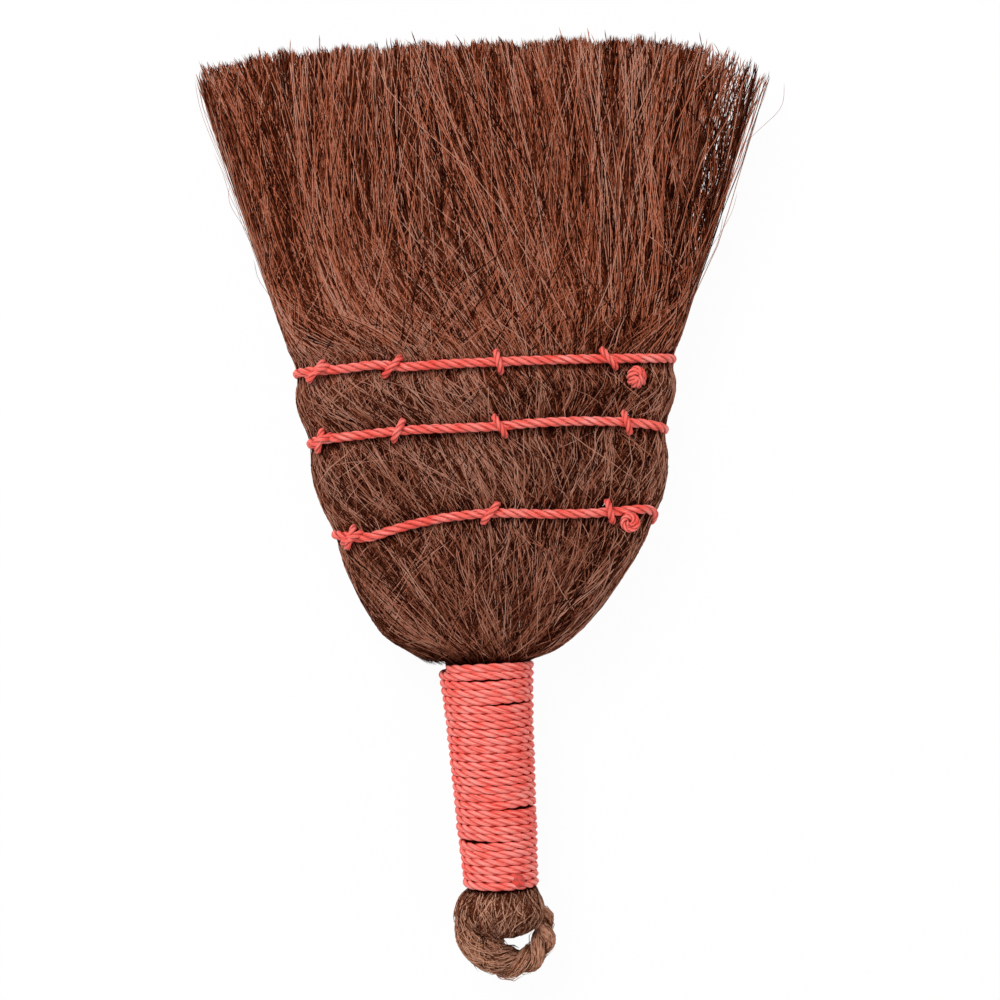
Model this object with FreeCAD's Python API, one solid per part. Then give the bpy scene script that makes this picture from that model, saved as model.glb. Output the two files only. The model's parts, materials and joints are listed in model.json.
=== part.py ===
"""Flat hand broom of palm fibre: rolled fibre bundles in two fibre-mat covers, sewn flat by three rows of
twisted cord, bound into a handle by a wound cord, with a fibre pommel and a twisted hanging loop.
Millimetres. +Y runs from the loop to the bristle tips, +Z is up out of the front face, and the broom
lies on its back on the plane z = 0, with the origin under the middle of its length and width."""

import FreeCAD, Part
import math
import os

from FreeCAD import Vector

# Lengths along the broom
BRISTLE_LENGTH = 104.5        # upper row to the crown of the tips
UPPER_ROLL_LENGTH = 20.6      # upper row to middle row
MIDDLE_ROLL_LENGTH = 29.2     # middle row to lower row
SHOULDER_LENGTH = 44.8        # lower row to the neck
HANDLE_LENGTH = 72.0          # neck to pommel, along the handle
POMMEL_LENGTH = 13.8
LOOP_DROP = 15.0              # pommel's end to the loop's end

# Widths and thicknesses of the head
TIP_WIDTH = 183.0             # at the corners of the tips
TIP_THICKNESS = 34.0
TIP_CROWN = 8.0               # middle of the tips above their corners
UPPER_ROW_WIDTH = 118.8
UPPER_ROW_THICKNESS = 25.0
MIDDLE_ROW_WIDTH = 112.4
MIDDLE_ROW_THICKNESS = 25.5
LOWER_ROW_WIDTH = 102.6
LOWER_ROW_THICKNESS = 26.0
ROLL_WIDTH_SWELL = 1.8        # how far the fibre bulges between two rows, on each side
ROLL_THICKNESS_SWELL = 3.0
SHOULDER_THICKNESS = 36.0
REST_FLAT_DEPTH = 0.5         # how far the shoulder's back is pressed flat by the surface under it

# The hand-made head leans: each middle's shift to the right, and how far the rows and the handle tilt
UPPER_ROW_SHIFT = 0.6
MIDDLE_ROW_SHIFT = 1.3
LOWER_ROW_SHIFT = 3.6
NECK_SHIFT = 0.3
ROW_TILT_DEG = 2.3
HANDLE_LEAN_DEG = 4.9

# Shoulder outline: how far up each section stands, its width's growth and its thickness's growth
SHOULDER_RISE_SHARES = (0.04, 0.1, 0.2, 0.34, 0.5, 0.7, 0.86)
SHOULDER_WIDTH_POWER = 0.48
SHOULDER_THICKNESS_SHARES = (0.2, 0.45, 0.75, 0.95, 1.0, 0.92, 0.76)
ROLL_SHARES = (0.25, 0.5, 0.75)

# Handle under its winding
NECK_CORE_DIAMETER = 24.0
BUTT_CORE_DIAMETER = 17.2

# Fibre covers and bundles
COVER_THICKNESS = 3.0
SOFT_GAP = 0.3                # room between two pieces of fibre
BUNDLE_NAMES = ("left_outer", "left_inner", "centre", "right_inner", "right_outer")
BUNDLE_EDGE_SHARES = (-0.6, -0.2, 0.2, 0.6)

# Twisted cord of the rows and of the winding
CORD_DIAMETER = 2.5
CORD_SINK = 1.6               # how deep a row's cord lies in the fibre
CORD_GAP = 0.2                # room round a cord in the fibre
TIE_SLACK = 0.55              # room between a tie and the cord that it crosses
ROW_BROAD_SHARES = (-1.0, -0.6, -0.2, 0.2, 0.6, 1.0)
ROW_EDGE_SHARES = (0.34, 0.66)
UPPER_ROW_BOW = 0.6
MIDDLE_ROW_BOW = 3.4
LOWER_ROW_BOW = 2.6
BOW_MIDDLE_SHARE = 0.5        # of the bow that lies above the row's section

# Ties of each row: place across the half width, and lean from the broom's length towards the right
UPPER_TIE_SHARES = (-0.84, -0.49, 0.07, 0.67)
UPPER_TIE_LEANS_DEG = (40.0, 44.0, -12.0, -36.0)
MIDDLE_TIE_SHARES = (-0.87, -0.5, 0.08, 0.8)
MIDDLE_TIE_LEANS_DEG = (15.0, 28.0, -28.0, -14.0)
LOWER_TIE_SHARES = (-0.85, -0.03, 0.71)
LOWER_TIE_LEANS_DEG = (20.0, 40.0, -12.0)

# Stopper knots that end the upper and the lower row
KNOT_DIAMETER = 6.6
KNOT_HEIGHT = 4.6
KNOT_STEM_LENGTH = 5.0
KNOT_BELOW_ROW = 5.4
UPPER_KNOT_SHARE = 0.815
LOWER_KNOT_SHARE = 0.835

# Winding and its melted cord end
WINDING_TURNS = 22
WINDING_END_MARGIN = 0.5      # bare handle past the first and the last turn
WINDING_GAP = 0.1
SEAL_DIAMETER = 4.4
SEAL_HEIGHT = 1.0
SEAL_ACROSS_SHARE = 0.44      # of the winding's outer radius
SEAL_ABOVE_BUTT = 4.2

# Pommel
POMMEL_DIAMETER = 25.0
POMMEL_WAIST_SHARE = 0.48     # where along the pommel it is widest

# Hanging loop: two strands twisted round a rounded path
LOOP_WIDTH = 23.4             # between the strands' middle lines
LOOP_SHIFT = 1.8              # loop's middle to the right of the handle's
STRAND_DIAMETER = 4.4
STRAND_GAP = 0.5
LOOP_TURNS = 1.25
LOOP_PHASE_DEG = 60.0
LOOP_SECTIONS = 17
LOOP_END_DEG = 128.0          # each root's place on the path, from the loop's lowest point
LOOP_SWING_DEG = 30.0         # each way
LOOP_SWING_STEP_SHARES = (-1.0, -0.5, 0.0, 0.5, 1.0)
LOOP_SHANK_SHARE = 0.84       # of the root's angle, where the loop leaves the pommel

# Flexing of the bristles, which bend just above the upper row
FLEX_DEG = 20.0
FLEX_ROUND_RADIUS = 2.0       # rounded root of the bristles in its trough

OVERRUN = 6.0                 # how far cutting bodies reach past what they cut
TANGENT_STEP_SHARE = 1e-4     # of a path, between the two places that give its direction
ROUNDING_SHARE = 1e-9         # by which a sine may be off

UP = Vector(0, 0, 1)
RIGHT_ANGLE_DEG = 90.0
CORD_RADIUS = CORD_DIAMETER / 2
STRAND_RADIUS = STRAND_DIAMETER / 2


def turned(x_share, y_share, angle_deg):
    """A direction in the broom's plane, turned to the left by an angle."""
    angle = math.radians(angle_deg)
    return Vector(
        x_share * math.cos(angle) - y_share * math.sin(angle),
        x_share * math.sin(angle) + y_share * math.cos(angle),
        0,
    )


class Oval:
    """Flattened round outline of two broad arcs and two edge arcs that meet in tangents."""

    def __init__(self, half_width, half_thick):
        self.half_width = half_width
        self.half_thick = half_thick
        self.turn = math.radians(RIGHT_ANGLE_DEG) / 2 * half_thick / half_width
        step = (half_width - half_thick) / (math.sin(self.turn) + math.cos(self.turn) - 1)
        self.edge_radius = half_thick - step * (1 - math.cos(self.turn))
        self.broad_radius = step + self.edge_radius

    def point(self, angle, out=0):
        """(x, z) where the outward normal stands at this angle from +z towards +x, moved outwards."""
        sine, cosine = math.sin(angle), math.cos(angle)
        if abs(sine) <= math.sin(self.turn) * (1 + ROUNDING_SHARE):
            middle_z = math.copysign(1, cosine) * (self.half_thick - self.broad_radius)
            radius = self.broad_radius + out
            return radius * sine, middle_z + radius * cosine
        middle_x = math.copysign(1, sine) * (self.half_width - self.edge_radius)
        radius = self.edge_radius + out
        return middle_x + radius * sine, radius * cosine

    def front_angle(self, x):
        """The normal's angle at this x on the front."""
        if abs(x) <= self.broad_radius * math.sin(self.turn):
            return math.asin(x / self.broad_radius)
        past = (abs(x) - self.half_width + self.edge_radius) / self.edge_radius
        return math.copysign(math.asin(past), x)


class Station:
    """A cross-section of the broom: where it stands, how it tilts, and its outline."""

    def __init__(self, x, y, half_width, half_thick, tilt_deg):
        self.middle = Vector(x, y, MIDDLE_Z)
        self.across = turned(1, 0, tilt_deg)
        self.along = turned(0, 1, tilt_deg)
        self.half_width = half_width
        self.half_thick = half_thick
        self.oval = Oval(half_width, half_thick)

    def place(self, x, z, y=0):
        return self.middle + self.across * x + self.along * y + UP * z

    def moved(self, y):
        """The same section, moved along its own axis."""
        copy = Station(0, 0, self.half_width, self.half_thick, 0)
        copy.middle = self.middle + self.along * y
        copy.across, copy.along = self.across, self.along
        return copy

    def wire(self, inset=0):
        oval = Oval(self.half_width - inset, self.half_thick - inset)
        ends = (-oval.turn, oval.turn, math.pi - oval.turn, math.pi + oval.turn)
        edges = []
        for start, end in zip(ends, ends[1:] + (ends[0] + 2 * math.pi,)):
            points = [self.place(*oval.point(a)) for a in (start, (start + end) / 2, end)]
            edges.append(Part.Arc(*points).toShape())
        return Part.Wire(edges)


def loft(stations, inset=0):
    return Part.makeLoft([s.wire(inset) for s in stations], True, True)


def polygon_prism(points, depth):
    """A closed polygon, pushed along a vector."""
    return Part.Face(Part.makePolygon(points + points[:1])).extrude(depth)


def knife(stations, share, inset=0):
    """A thin wall through the sections, at a share of each half width less an inset."""
    walls = []
    for s in stations:
        middle = share * (s.half_width - inset)
        left, right = middle - SOFT_GAP / 2, middle + SOFT_GAP / 2
        reach = s.half_thick + OVERRUN
        corners = [s.place(left, -reach), s.place(right, -reach), s.place(right, reach), s.place(left, reach)]
        walls.append(Part.makePolygon(corners + corners[:1]))
    return Part.makeLoft(walls, True, True)


def between(first, last, share):
    return first + (last - first) * share


def arc_from(start, tangent, end):
    """The arc that leaves start along a tangent and reaches end."""
    chord = end - start
    off = chord - tangent * chord.dot(tangent)
    radius = chord.dot(chord) / (2 * off.Length)
    middle = start + off.normalize() * radius
    half_way = middle + ((start - middle) + (end - middle)).normalize() * radius
    return Part.Arc(start, half_way, end).toShape()


def biarc(start, start_tangent, end, end_tangent):
    """Two arcs that join two points with the tangents given there."""
    chord = end - start
    both = start_tangent + end_tangent
    spread = 2 * (1 - start_tangent.dot(end_tangent))
    along = chord.dot(both)
    reach = (-along + math.sqrt(along * along + spread * chord.dot(chord))) / spread
    joint = (start + end + (start_tangent - end_tangent) * reach) / 2
    first = arc_from(start, start_tangent, joint)
    second = arc_from(end, end_tangent * -1, joint)
    return [first, second]


def biarcs(points, tangents):
    edges = []
    for i in range(len(points) - 1):
        edges += biarc(points[i], tangents[i], points[i + 1], tangents[i + 1])
    return edges


def tube(edges, radius, start, tangent):
    """A round cord along joined edges."""
    profile = Part.Wire(Part.makeCircle(radius, start, tangent))
    shell = Part.BRepOffsetAPI.MakePipeShell(Part.Wire(edges))
    shell.add(profile)
    shell.build()
    shell.makeSolid()
    return shell.shape()


def ball_segment(base, direction, radius, height):
    """The end of a ball, cut off flat at a base and rising to a height along a direction."""
    middle = base + direction * (height - radius)
    latitude = math.degrees(math.asin((radius - height) / radius))
    return Part.makeSphere(radius, middle, direction, latitude, RIGHT_ANGLE_DEG, 4 * RIGHT_ANGLE_DEG)


def cap_radius(half_width, height):
    """Radius of the ball whose end has this half width and height."""
    return (half_width * half_width + height * height) / (2 * height)


def biggest_first(shape):
    return sorted(shape.Solids, key=lambda s: -s.Volume)


# Places along the broom, from the tips down
HEAD_LENGTH = BRISTLE_LENGTH + UPPER_ROLL_LENGTH + MIDDLE_ROLL_LENGTH + SHOULDER_LENGTH
TAIL_LENGTH = (HANDLE_LENGTH + POMMEL_LENGTH + LOOP_DROP) * math.cos(math.radians(HANDLE_LEAN_DEG))
TIP_Y = (HEAD_LENGTH + TAIL_LENGTH) / 2
UPPER_ROW_Y = TIP_Y - BRISTLE_LENGTH
MIDDLE_ROW_Y = UPPER_ROW_Y - UPPER_ROLL_LENGTH
LOWER_ROW_Y = MIDDLE_ROW_Y - MIDDLE_ROLL_LENGTH
NECK_Y = LOWER_ROW_Y - SHOULDER_LENGTH


def tie_span(lean_deg):
    """From a row's cord to a tie's leg, which is wider where the tie crosses at a slant."""
    return CORD_RADIUS / math.cos(math.radians(lean_deg)) + CORD_RADIUS + TIE_SLACK


def tie_reach(thickness, leans_deg):
    """From the middle of the head to the outside of its row's highest tie."""
    cord_middle = thickness / 2 + CORD_RADIUS - CORD_SINK
    return cord_middle + max(tie_span(lean) for lean in leans_deg) + CORD_RADIUS


MIDDLE_Z = max(
    SHOULDER_THICKNESS / 2 - REST_FLAT_DEPTH,
    tie_reach(UPPER_ROW_THICKNESS, UPPER_TIE_LEANS_DEG),
    tie_reach(MIDDLE_ROW_THICKNESS, MIDDLE_TIE_LEANS_DEG),
    tie_reach(LOWER_ROW_THICKNESS, LOWER_TIE_LEANS_DEG),
)


def row_station(x, y, width, thickness):
    return Station(x, y, width / 2, thickness / 2, ROW_TILT_DEG)


def roll_stations(below, above):
    """The bulge between two rows."""
    stations = []
    for share in ROLL_SHARES:
        middle = between(below.middle, above.middle, share)
        swell = math.sin(math.pi * share)
        half_width = between(below.half_width, above.half_width, share) + ROLL_WIDTH_SWELL * swell
        half_thick = between(below.half_thick, above.half_thick, share) + ROLL_THICKNESS_SWELL * swell
        stations.append(Station(middle.x, middle.y, half_width, half_thick, ROW_TILT_DEG))
    return stations


UPPER_ROW = row_station(UPPER_ROW_SHIFT, UPPER_ROW_Y, UPPER_ROW_WIDTH, UPPER_ROW_THICKNESS)
MIDDLE_ROW = row_station(MIDDLE_ROW_SHIFT, MIDDLE_ROW_Y, MIDDLE_ROW_WIDTH, MIDDLE_ROW_THICKNESS)
LOWER_ROW = row_station(LOWER_ROW_SHIFT, LOWER_ROW_Y, LOWER_ROW_WIDTH, LOWER_ROW_THICKNESS)
NECK = Station(NECK_SHIFT, NECK_Y, NECK_CORE_DIAMETER / 2, NECK_CORE_DIAMETER / 2, HANDLE_LEAN_DEG)
BUTT = Station(0, 0, BUTT_CORE_DIAMETER / 2, BUTT_CORE_DIAMETER / 2, HANDLE_LEAN_DEG)
BUTT.middle = NECK.middle - NECK.along * HANDLE_LENGTH

# The bristles flex about a line just above the upper row's ties
TIES_ABOVE_ROW = max(tie_span(lean) * math.cos(math.radians(lean)) for lean in UPPER_TIE_LEANS_DEG)
TIES_TOP = UPPER_ROW_BOW * BOW_MIDDLE_SHARE + TIES_ABOVE_ROW + CORD_RADIUS
FLEX_ABOVE_ROW = TIES_TOP + FLEX_ROUND_RADIUS + 2 * SOFT_GAP
FLARE_LENGTH = BRISTLE_LENGTH - TIP_CROWN


def flared_station(above_row):
    """A section of the bristles, which flare evenly from the upper row past the corners of the tips."""
    share = above_row / FLARE_LENGTH
    return Station(
        UPPER_ROW_SHIFT * (1 - share),
        UPPER_ROW_Y + above_row,
        between(UPPER_ROW_WIDTH, TIP_WIDTH, share) / 2,
        between(UPPER_ROW_THICKNESS, TIP_THICKNESS, share) / 2,
        ROW_TILT_DEG,
    )


FLEX = flared_station(FLEX_ABOVE_ROW)


def shoulder_stations():
    """Sections from the neck to the lower row, which swell fast at first and then ease."""
    stations = []
    for rise, swell in zip(SHOULDER_RISE_SHARES, SHOULDER_THICKNESS_SHARES):
        middle = between(NECK.middle, LOWER_ROW.middle, rise)
        width_share = rise ** SHOULDER_WIDTH_POWER
        half_width = between(NECK.half_width, LOWER_ROW.half_width, width_share)
        half_thick = between(NECK.half_thick, SHOULDER_THICKNESS / 2, swell)
        tilt = between(HANDLE_LEAN_DEG, ROW_TILT_DEG, rise)
        stations.append(Station(middle.x, middle.y, half_width, half_thick, tilt))
    return stations


SHOULDER_STATIONS = shoulder_stations()
SEWN_STATIONS = [
    BUTT,
    NECK,
    *SHOULDER_STATIONS,
    LOWER_ROW,
    *roll_stations(LOWER_ROW, MIDDLE_ROW),
    MIDDLE_ROW,
    *roll_stations(MIDDLE_ROW, UPPER_ROW),
    UPPER_ROW,
    flared_station(FLEX_ABOVE_ROW + OVERRUN),
]
BRISTLE_STATIONS = [UPPER_ROW, flared_station(BRISTLE_LENGTH + OVERRUN)]


def flex_region(points_along_and_up):
    """A prism across the whole head at the flexing line, from (along, up) corners."""
    reach = TIP_WIDTH / 2 + OVERRUN
    corners = [FLEX.place(-reach, up, along) for along, up in points_along_and_up]
    return polygon_prism(corners, FLEX.across * (2 * reach))


def flex_cylinder(radius):
    reach = TIP_WIDTH / 2 + OVERRUN
    return Part.makeCylinder(radius, 2 * reach, FLEX.place(-reach, 0), FLEX.across)


def above_flex_line():
    high = TIP_THICKNESS + OVERRUN
    return flex_region([(0, -high), (BRISTLE_LENGTH, -high), (BRISTLE_LENGTH, high), (0, high)])


def sewn_solid(inset):
    """Handle and sewn head in one, up to the flexing line, with the trough for the bristles' root."""
    whole = loft(SEWN_STATIONS, inset)
    return whole.cut(above_flex_line()).cut(flex_cylinder(FLEX_ROUND_RADIUS + SOFT_GAP))


def tie_places():
    """Every tie as (row, place across, place along, lean, front height of the row's cord)."""
    places = []
    for row, bow, shares, leans in ROWS.values():
        for share, lean in zip(shares, leans):
            x = share * row.half_width
            z = row.oval.point(row.oval.front_angle(x), CORD_RADIUS - CORD_SINK)[1]
            places.append((row, x, bowed(row, bow, x), lean, z))
    return places


ROWS = {
    "upper": (UPPER_ROW, UPPER_ROW_BOW, UPPER_TIE_SHARES, UPPER_TIE_LEANS_DEG),
    "middle": (MIDDLE_ROW, MIDDLE_ROW_BOW, MIDDLE_TIE_SHARES, MIDDLE_TIE_LEANS_DEG),
    "lower": (LOWER_ROW, LOWER_ROW_BOW, LOWER_TIE_SHARES, LOWER_TIE_LEANS_DEG),
}


def bowed(row, bow, x):
    """How far along the broom a row's cord lies from its section, at this place across it."""
    return bow * (BOW_MIDDLE_SHARE - (x / row.half_width) ** 2)


def row_cord(row, bow, radius):
    """The cord that is laid round the head, pressed a little into the fibre."""
    turn = row.oval.turn
    broad = [turn * share for share in ROW_BROAD_SHARES]
    edge = [turn + (math.pi - 2 * turn) * share for share in ROW_EDGE_SHARES]
    angles = broad + edge + [math.pi + a for a in broad] + [math.pi + a for a in edge]
    points, tangents = [], []
    for angle in angles + angles[:1]:
        x, z = row.oval.point(angle, CORD_RADIUS - CORD_SINK)
        rise = -2 * bow * x / row.half_width ** 2 * math.cos(angle)
        tangent = row.across * math.cos(angle) - UP * math.sin(angle) + row.along * rise
        points.append(row.place(x, z, bowed(row, bow, x)))
        tangents.append(tangent.normalize())
    return tube(biarcs(points, tangents), radius, points[0], tangents[0])


def tie_leg_points(row, x, y, lean):
    """The two places where a tie's legs go through the head."""
    slant = row.along * math.cos(math.radians(lean)) + row.across * math.sin(math.radians(lean))
    return [row.place(x, 0, y) + slant * (side * tie_span(lean)) for side in (1, -1)]


def tie(row, x, y, lean, z, radius):
    """One tie: through the head, over the row's cord in front and behind, back to where it began."""
    far, near = tie_leg_points(row, x, y, lean)
    middle = row.place(x, 0, y)
    span = tie_span(lean)
    edges = []
    for start, end, side in ((near, far, 1), (far, near, -1)):
        level = UP * (side * z)
        crown = middle + level + UP * (side * span)
        tangents = [UP * side, (end - start).normalize(), UP * -side]
        edges += biarcs([start + level, crown, end + level], tangents)
        edges.append(Part.LineSegment(end + level, end - level).toShape())
    return tube(edges, radius, near + UP * z, UP)


def ties_of(row, radius):
    """All the ties of a row, with cord of this radius."""
    return [tie(*place, radius) for place in tie_places() if place[0] is row]


def knot_place(row, bow, share):
    x = share * row.half_width
    return row.place(x, 0, bowed(row, bow, x) - KNOT_BELOW_ROW)


def stopper_knot(place, cover, room=0):
    """A ball knot on the front cover, with the cord's end going into the head under it."""
    probe = Part.LineSegment(place, place + UP * (2 * MIDDLE_Z)).toShape()
    surface = Vector(place.x, place.y, cover.common(probe).BoundBox.ZMax)
    seat = surface + UP * (SOFT_GAP - room)
    ball = ball_segment(seat, UP, KNOT_DIAMETER / 2 + room, KNOT_HEIGHT + 2 * room)
    stem_length = KNOT_STEM_LENGTH + KNOT_HEIGHT / 2
    stem = Part.makeCylinder(CORD_RADIUS + room, stem_length, surface - UP * KNOT_STEM_LENGTH, UP)
    return ball.fuse(stem)


def winding_radius(down):
    """Middle line of the winding's cord, at a distance down the handle."""
    core = between(NECK_CORE_DIAMETER, BUTT_CORE_DIAMETER, down / HANDLE_LENGTH) / 2
    return core + WINDING_GAP + CORD_RADIUS


def winding_point(angle, down):
    radial = NECK.across * math.cos(angle) + UP * math.sin(angle)
    return NECK.middle - NECK.along * down + radial * winding_radius(down)


def winding_place(share):
    """Middle of the winding's cord, at a share of its turns."""
    margin = WINDING_END_MARGIN + CORD_RADIUS
    return winding_point(-2 * math.pi * WINDING_TURNS * share, between(margin, HANDLE_LENGTH - margin, share))


def direction_at(path, where, step):
    """Direction of a path, from two places near the one asked for."""
    return (path(where + step) - path(where - step)).normalize()


def winding_gap():
    """Least room between two neighbouring turns of the winding."""
    turn_share = 1 / WINDING_TURNS
    quarters = [i * turn_share / 4 for i in range(4 * (WINDING_TURNS - 1) + 1)]
    return min((winding_place(q + turn_share) - winding_place(q)).Length for q in quarters) - CORD_DIAMETER


def winding():
    """One cord wound down the handle in quarter turns, its ends running straight for one diameter."""
    quarters = 4 * WINDING_TURNS
    shares = [i / quarters for i in range(quarters + 1)]
    points = [winding_place(share) for share in shares]
    tangents = [direction_at(winding_place, share, TANGENT_STEP_SHARE) for share in shares]
    edges = biarcs(points, tangents)
    head = points[0] - tangents[0] * CORD_DIAMETER
    tail = points[-1] + tangents[-1] * CORD_DIAMETER
    edges = [Part.LineSegment(head, points[0]).toShape()] + edges
    edges.append(Part.LineSegment(points[-1], tail).toShape())
    print(f"winding: {WINDING_TURNS} turns, least gap to itself {winding_gap():.2f} mm")
    return tube(edges, CORD_RADIUS, head, tangents[0])


def winding_seal():
    """The cord's end, melted into a flat button on the last turns."""
    down = HANDLE_LENGTH - SEAL_ABOVE_BUTT
    angle = math.acos(SEAL_ACROSS_SHARE)
    radial = NECK.across * math.cos(angle) + UP * math.sin(angle)
    base = NECK.middle - NECK.along * down + radial * (winding_radius(down) + CORD_RADIUS + WINDING_GAP)
    return ball_segment(base, radial, cap_radius(SEAL_DIAMETER / 2, SEAL_HEIGHT), SEAL_HEIGHT)


# The hanging loop, in the handle's own directions: across, and down past the butt
LOOP_ENVELOPE = STRAND_DIAMETER + STRAND_GAP / 2
LOOP_LOW = POMMEL_LENGTH + LOOP_DROP - LOOP_ENVELOPE
LOOP_END = math.radians(LOOP_END_DEG)
LOOP_ROOT_DOWN = POMMEL_LENGTH - LOOP_ENVELOPE
LOOP_HALF_HEIGHT = (LOOP_LOW - LOOP_ROOT_DOWN) / (1 - math.cos(LOOP_END))


def loop_point(angle):
    """Middle of the loop's rope, at an angle from the loop's lowest point towards the right."""
    across = LOOP_SHIFT + LOOP_WIDTH / 2 * math.sin(angle)
    down = LOOP_LOW - LOOP_HALF_HEIGHT * (1 - math.cos(angle))
    return BUTT.place(across, 0, -down)


def ring(middle, outward, radius):
    """A circle of four arcs that stands on the broom's plane, begun on its outward side."""
    eighths = [math.pi / 4 * i for i in range(9)]
    rim = [middle + (outward * math.cos(turn) + UP * math.sin(turn)) * radius for turn in eighths]
    return Part.Wire([Part.Arc(*rim[i:i + 3]).toShape() for i in range(0, 8, 2)])


def loop_strand(side):
    """One strand of the loop, turning round the loop's path half a turn from the other."""
    wires = []
    for i in range(LOOP_SECTIONS):
        share = i / (LOOP_SECTIONS - 1)
        angle = between(-LOOP_END, LOOP_END, share)
        outward = direction_at(loop_point, angle, TANGENT_STEP_SHARE).cross(UP)
        phase = math.radians(LOOP_PHASE_DEG) + 2 * math.pi * LOOP_TURNS * share
        aside = (outward * math.cos(phase) + UP * math.sin(phase)) * side
        middle = loop_point(angle) + aside * (STRAND_RADIUS + STRAND_GAP / 2)
        wires.append(ring(middle, outward, STRAND_RADIUS))
    return Part.makeLoft(wires, True, False)


def pommel():
    """The knob of fibre below the handle, hollowed where the loop's two roots turn in it."""
    waist = POMMEL_LENGTH * POMMEL_WAIST_SHARE
    down = BUTT.along * -1
    flare = Part.makeCone(BUTT_CORE_DIAMETER / 2, POMMEL_DIAMETER / 2, waist, BUTT.middle, down)
    dome_height = POMMEL_LENGTH - waist
    dome_radius = cap_radius(POMMEL_DIAMETER / 2, dome_height)
    knob = flare.fuse(ball_segment(BUTT.middle + down * waist, down, dome_radius, dome_height))
    left, right = loop_point(-LOOP_END), loop_point(LOOP_END)
    for root in (left, right):
        knob = knob.cut(Part.makeSphere(LOOP_ENVELOPE + SOFT_GAP, root))
    for side in (-1, 1):
        shank = loop_point(side * LOOP_END * LOOP_SHANK_SHARE) - left
        for share in LOOP_SWING_STEP_SHARES:
            swing = FreeCAD.Rotation(right - left, LOOP_SWING_DEG * share)
            knob = knob.cut(Part.makeSphere(LOOP_ENVELOPE + 2 * SOFT_GAP, left + swing.multVec(shank)))
    return knob


def tips_crown():
    """The rounded edge that the tips are trimmed to, seen from the front."""
    half = TIP_WIDTH / 2
    radius = (half * half + TIP_CROWN * TIP_CROWN) / (2 * TIP_CROWN)
    middle = Vector(0, TIP_Y - radius, 0)
    return Part.makeCylinder(radius, 2 * MIDDLE_Z, middle, UP)


def bristle_solid():
    """All the free bristles: rounded at the flexing line, clear of the sewn head when they bend."""
    flared = loft(BRISTLE_STATIONS)
    high = TIP_THICKNESS
    rise = high * math.tan(math.radians(FLEX_DEG)) + SOFT_GAP
    clear = flex_region([(SOFT_GAP, 0), (rise, high), (TIP_Y * 2, high), (TIP_Y * 2, -high), (rise, -high)])
    root = flex_cylinder(FLEX_ROUND_RADIUS)
    return flared.common(clear.fuse(root)).common(tips_crown())


def carved(shape, beds):
    """A piece of fibre, less the beds of the cords and knots in it, one kind of bed at a time."""
    for bed in beds:
        shape = shape.cut(bed)
    return shape


def resting_surface():
    """The ground under the broom."""
    corner = Vector(-TIP_WIDTH, -2 * TIP_Y, -OVERRUN)
    return Part.makeBox(2 * TIP_WIDTH, 4 * TIP_Y, OVERRUN, corner)


def across_broom(shape):
    return sorted(shape.Solids, key=lambda s: s.CenterOfMass.x)


def front_and_back(shape):
    """A shell, parted along its two edges."""
    reach = TIP_WIDTH
    low = Vector(-reach, -TIP_Y * 2, MIDDLE_Z + SOFT_GAP / 2)
    half = Part.makeBox(2 * reach, TIP_Y * 4, 2 * MIDDLE_Z, low)
    other = half.translated(UP * -(2 * MIDDLE_Z + SOFT_GAP))
    return biggest_first(shape.common(half))[0], biggest_first(shape.common(other))[0]


def main():
    os.makedirs("parts", exist_ok=True)
    pieces = {}

    front, back = front_and_back(sewn_solid(0).cut(sewn_solid(COVER_THICKNESS)))
    knots = {
        "upper": knot_place(UPPER_ROW, UPPER_ROW_BOW, UPPER_KNOT_SHARE),
        "lower": knot_place(LOWER_ROW, LOWER_ROW_BOW, LOWER_KNOT_SHARE),
    }
    beds = [
        [row_cord(row, bow, CORD_RADIUS + CORD_GAP) for row, bow, _, _ in ROWS.values()],
        [bed for row, _, _, _ in ROWS.values() for bed in ties_of(row, CORD_RADIUS + CORD_GAP)],
        [stopper_knot(place, front, SOFT_GAP) for place in knots.values()],
    ]
    for name, place in knots.items():
        pieces[name + "_stopper_knot"] = stopper_knot(place, front)
    pieces["front_cover"] = carved(front, beds)
    pieces["back_cover"] = carved(back, beds).cut(resting_surface())

    lining = COVER_THICKNESS + SOFT_GAP
    packed = sewn_solid(lining)
    top = flared_station(FLEX_ABOVE_ROW + 2 * OVERRUN)
    path = [BUTT.moved(-OVERRUN), NECK, *SHOULDER_STATIONS, LOWER_ROW, UPPER_ROW, top]
    sewn_knives = [knife(path, share, lining) for share in BUNDLE_EDGE_SHARES]
    bundles = across_broom(packed.cut(sewn_knives))
    for name, bundle in zip(BUNDLE_NAMES, bundles, strict=True):
        pieces[name + "_bundle"] = carved(bundle, beds)

    path = [flared_station(-OVERRUN), flared_station(BRISTLE_LENGTH + 2 * OVERRUN)]
    free_knives = [knife(path, share) for share in BUNDLE_EDGE_SHARES]
    tufts = across_broom(bristle_solid().cut(free_knives))
    for name, tuft in zip(BUNDLE_NAMES, tufts, strict=True):
        pieces[name + "_bristles"] = tuft

    for name, (row, bow, _, _) in ROWS.items():
        pieces[name + "_row_cord"] = row_cord(row, bow, CORD_RADIUS)
        pieces[name + "_row_ties"] = Part.makeCompound(ties_of(row, CORD_RADIUS))

    pieces["handle_winding"] = winding()
    pieces["winding_seal"] = winding_seal()
    pieces["pommel"] = pommel()
    pieces["front_loop_strand"] = loop_strand(1)
    pieces["back_loop_strand"] = loop_strand(-1)

    for name, shape in pieces.items():
        print(name, len(shape.Solids), shape.isValid(), f"{shape.Volume:.0f} mm3")
        shape.exportStep(f"parts/{name}.step")
    print("flex line", FLEX.middle, FLEX.across)
    print("loop axis", loop_point(-LOOP_END), loop_point(LOOP_END))


if __name__ == "__main__":
    main()
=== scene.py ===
import json
import math

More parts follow.
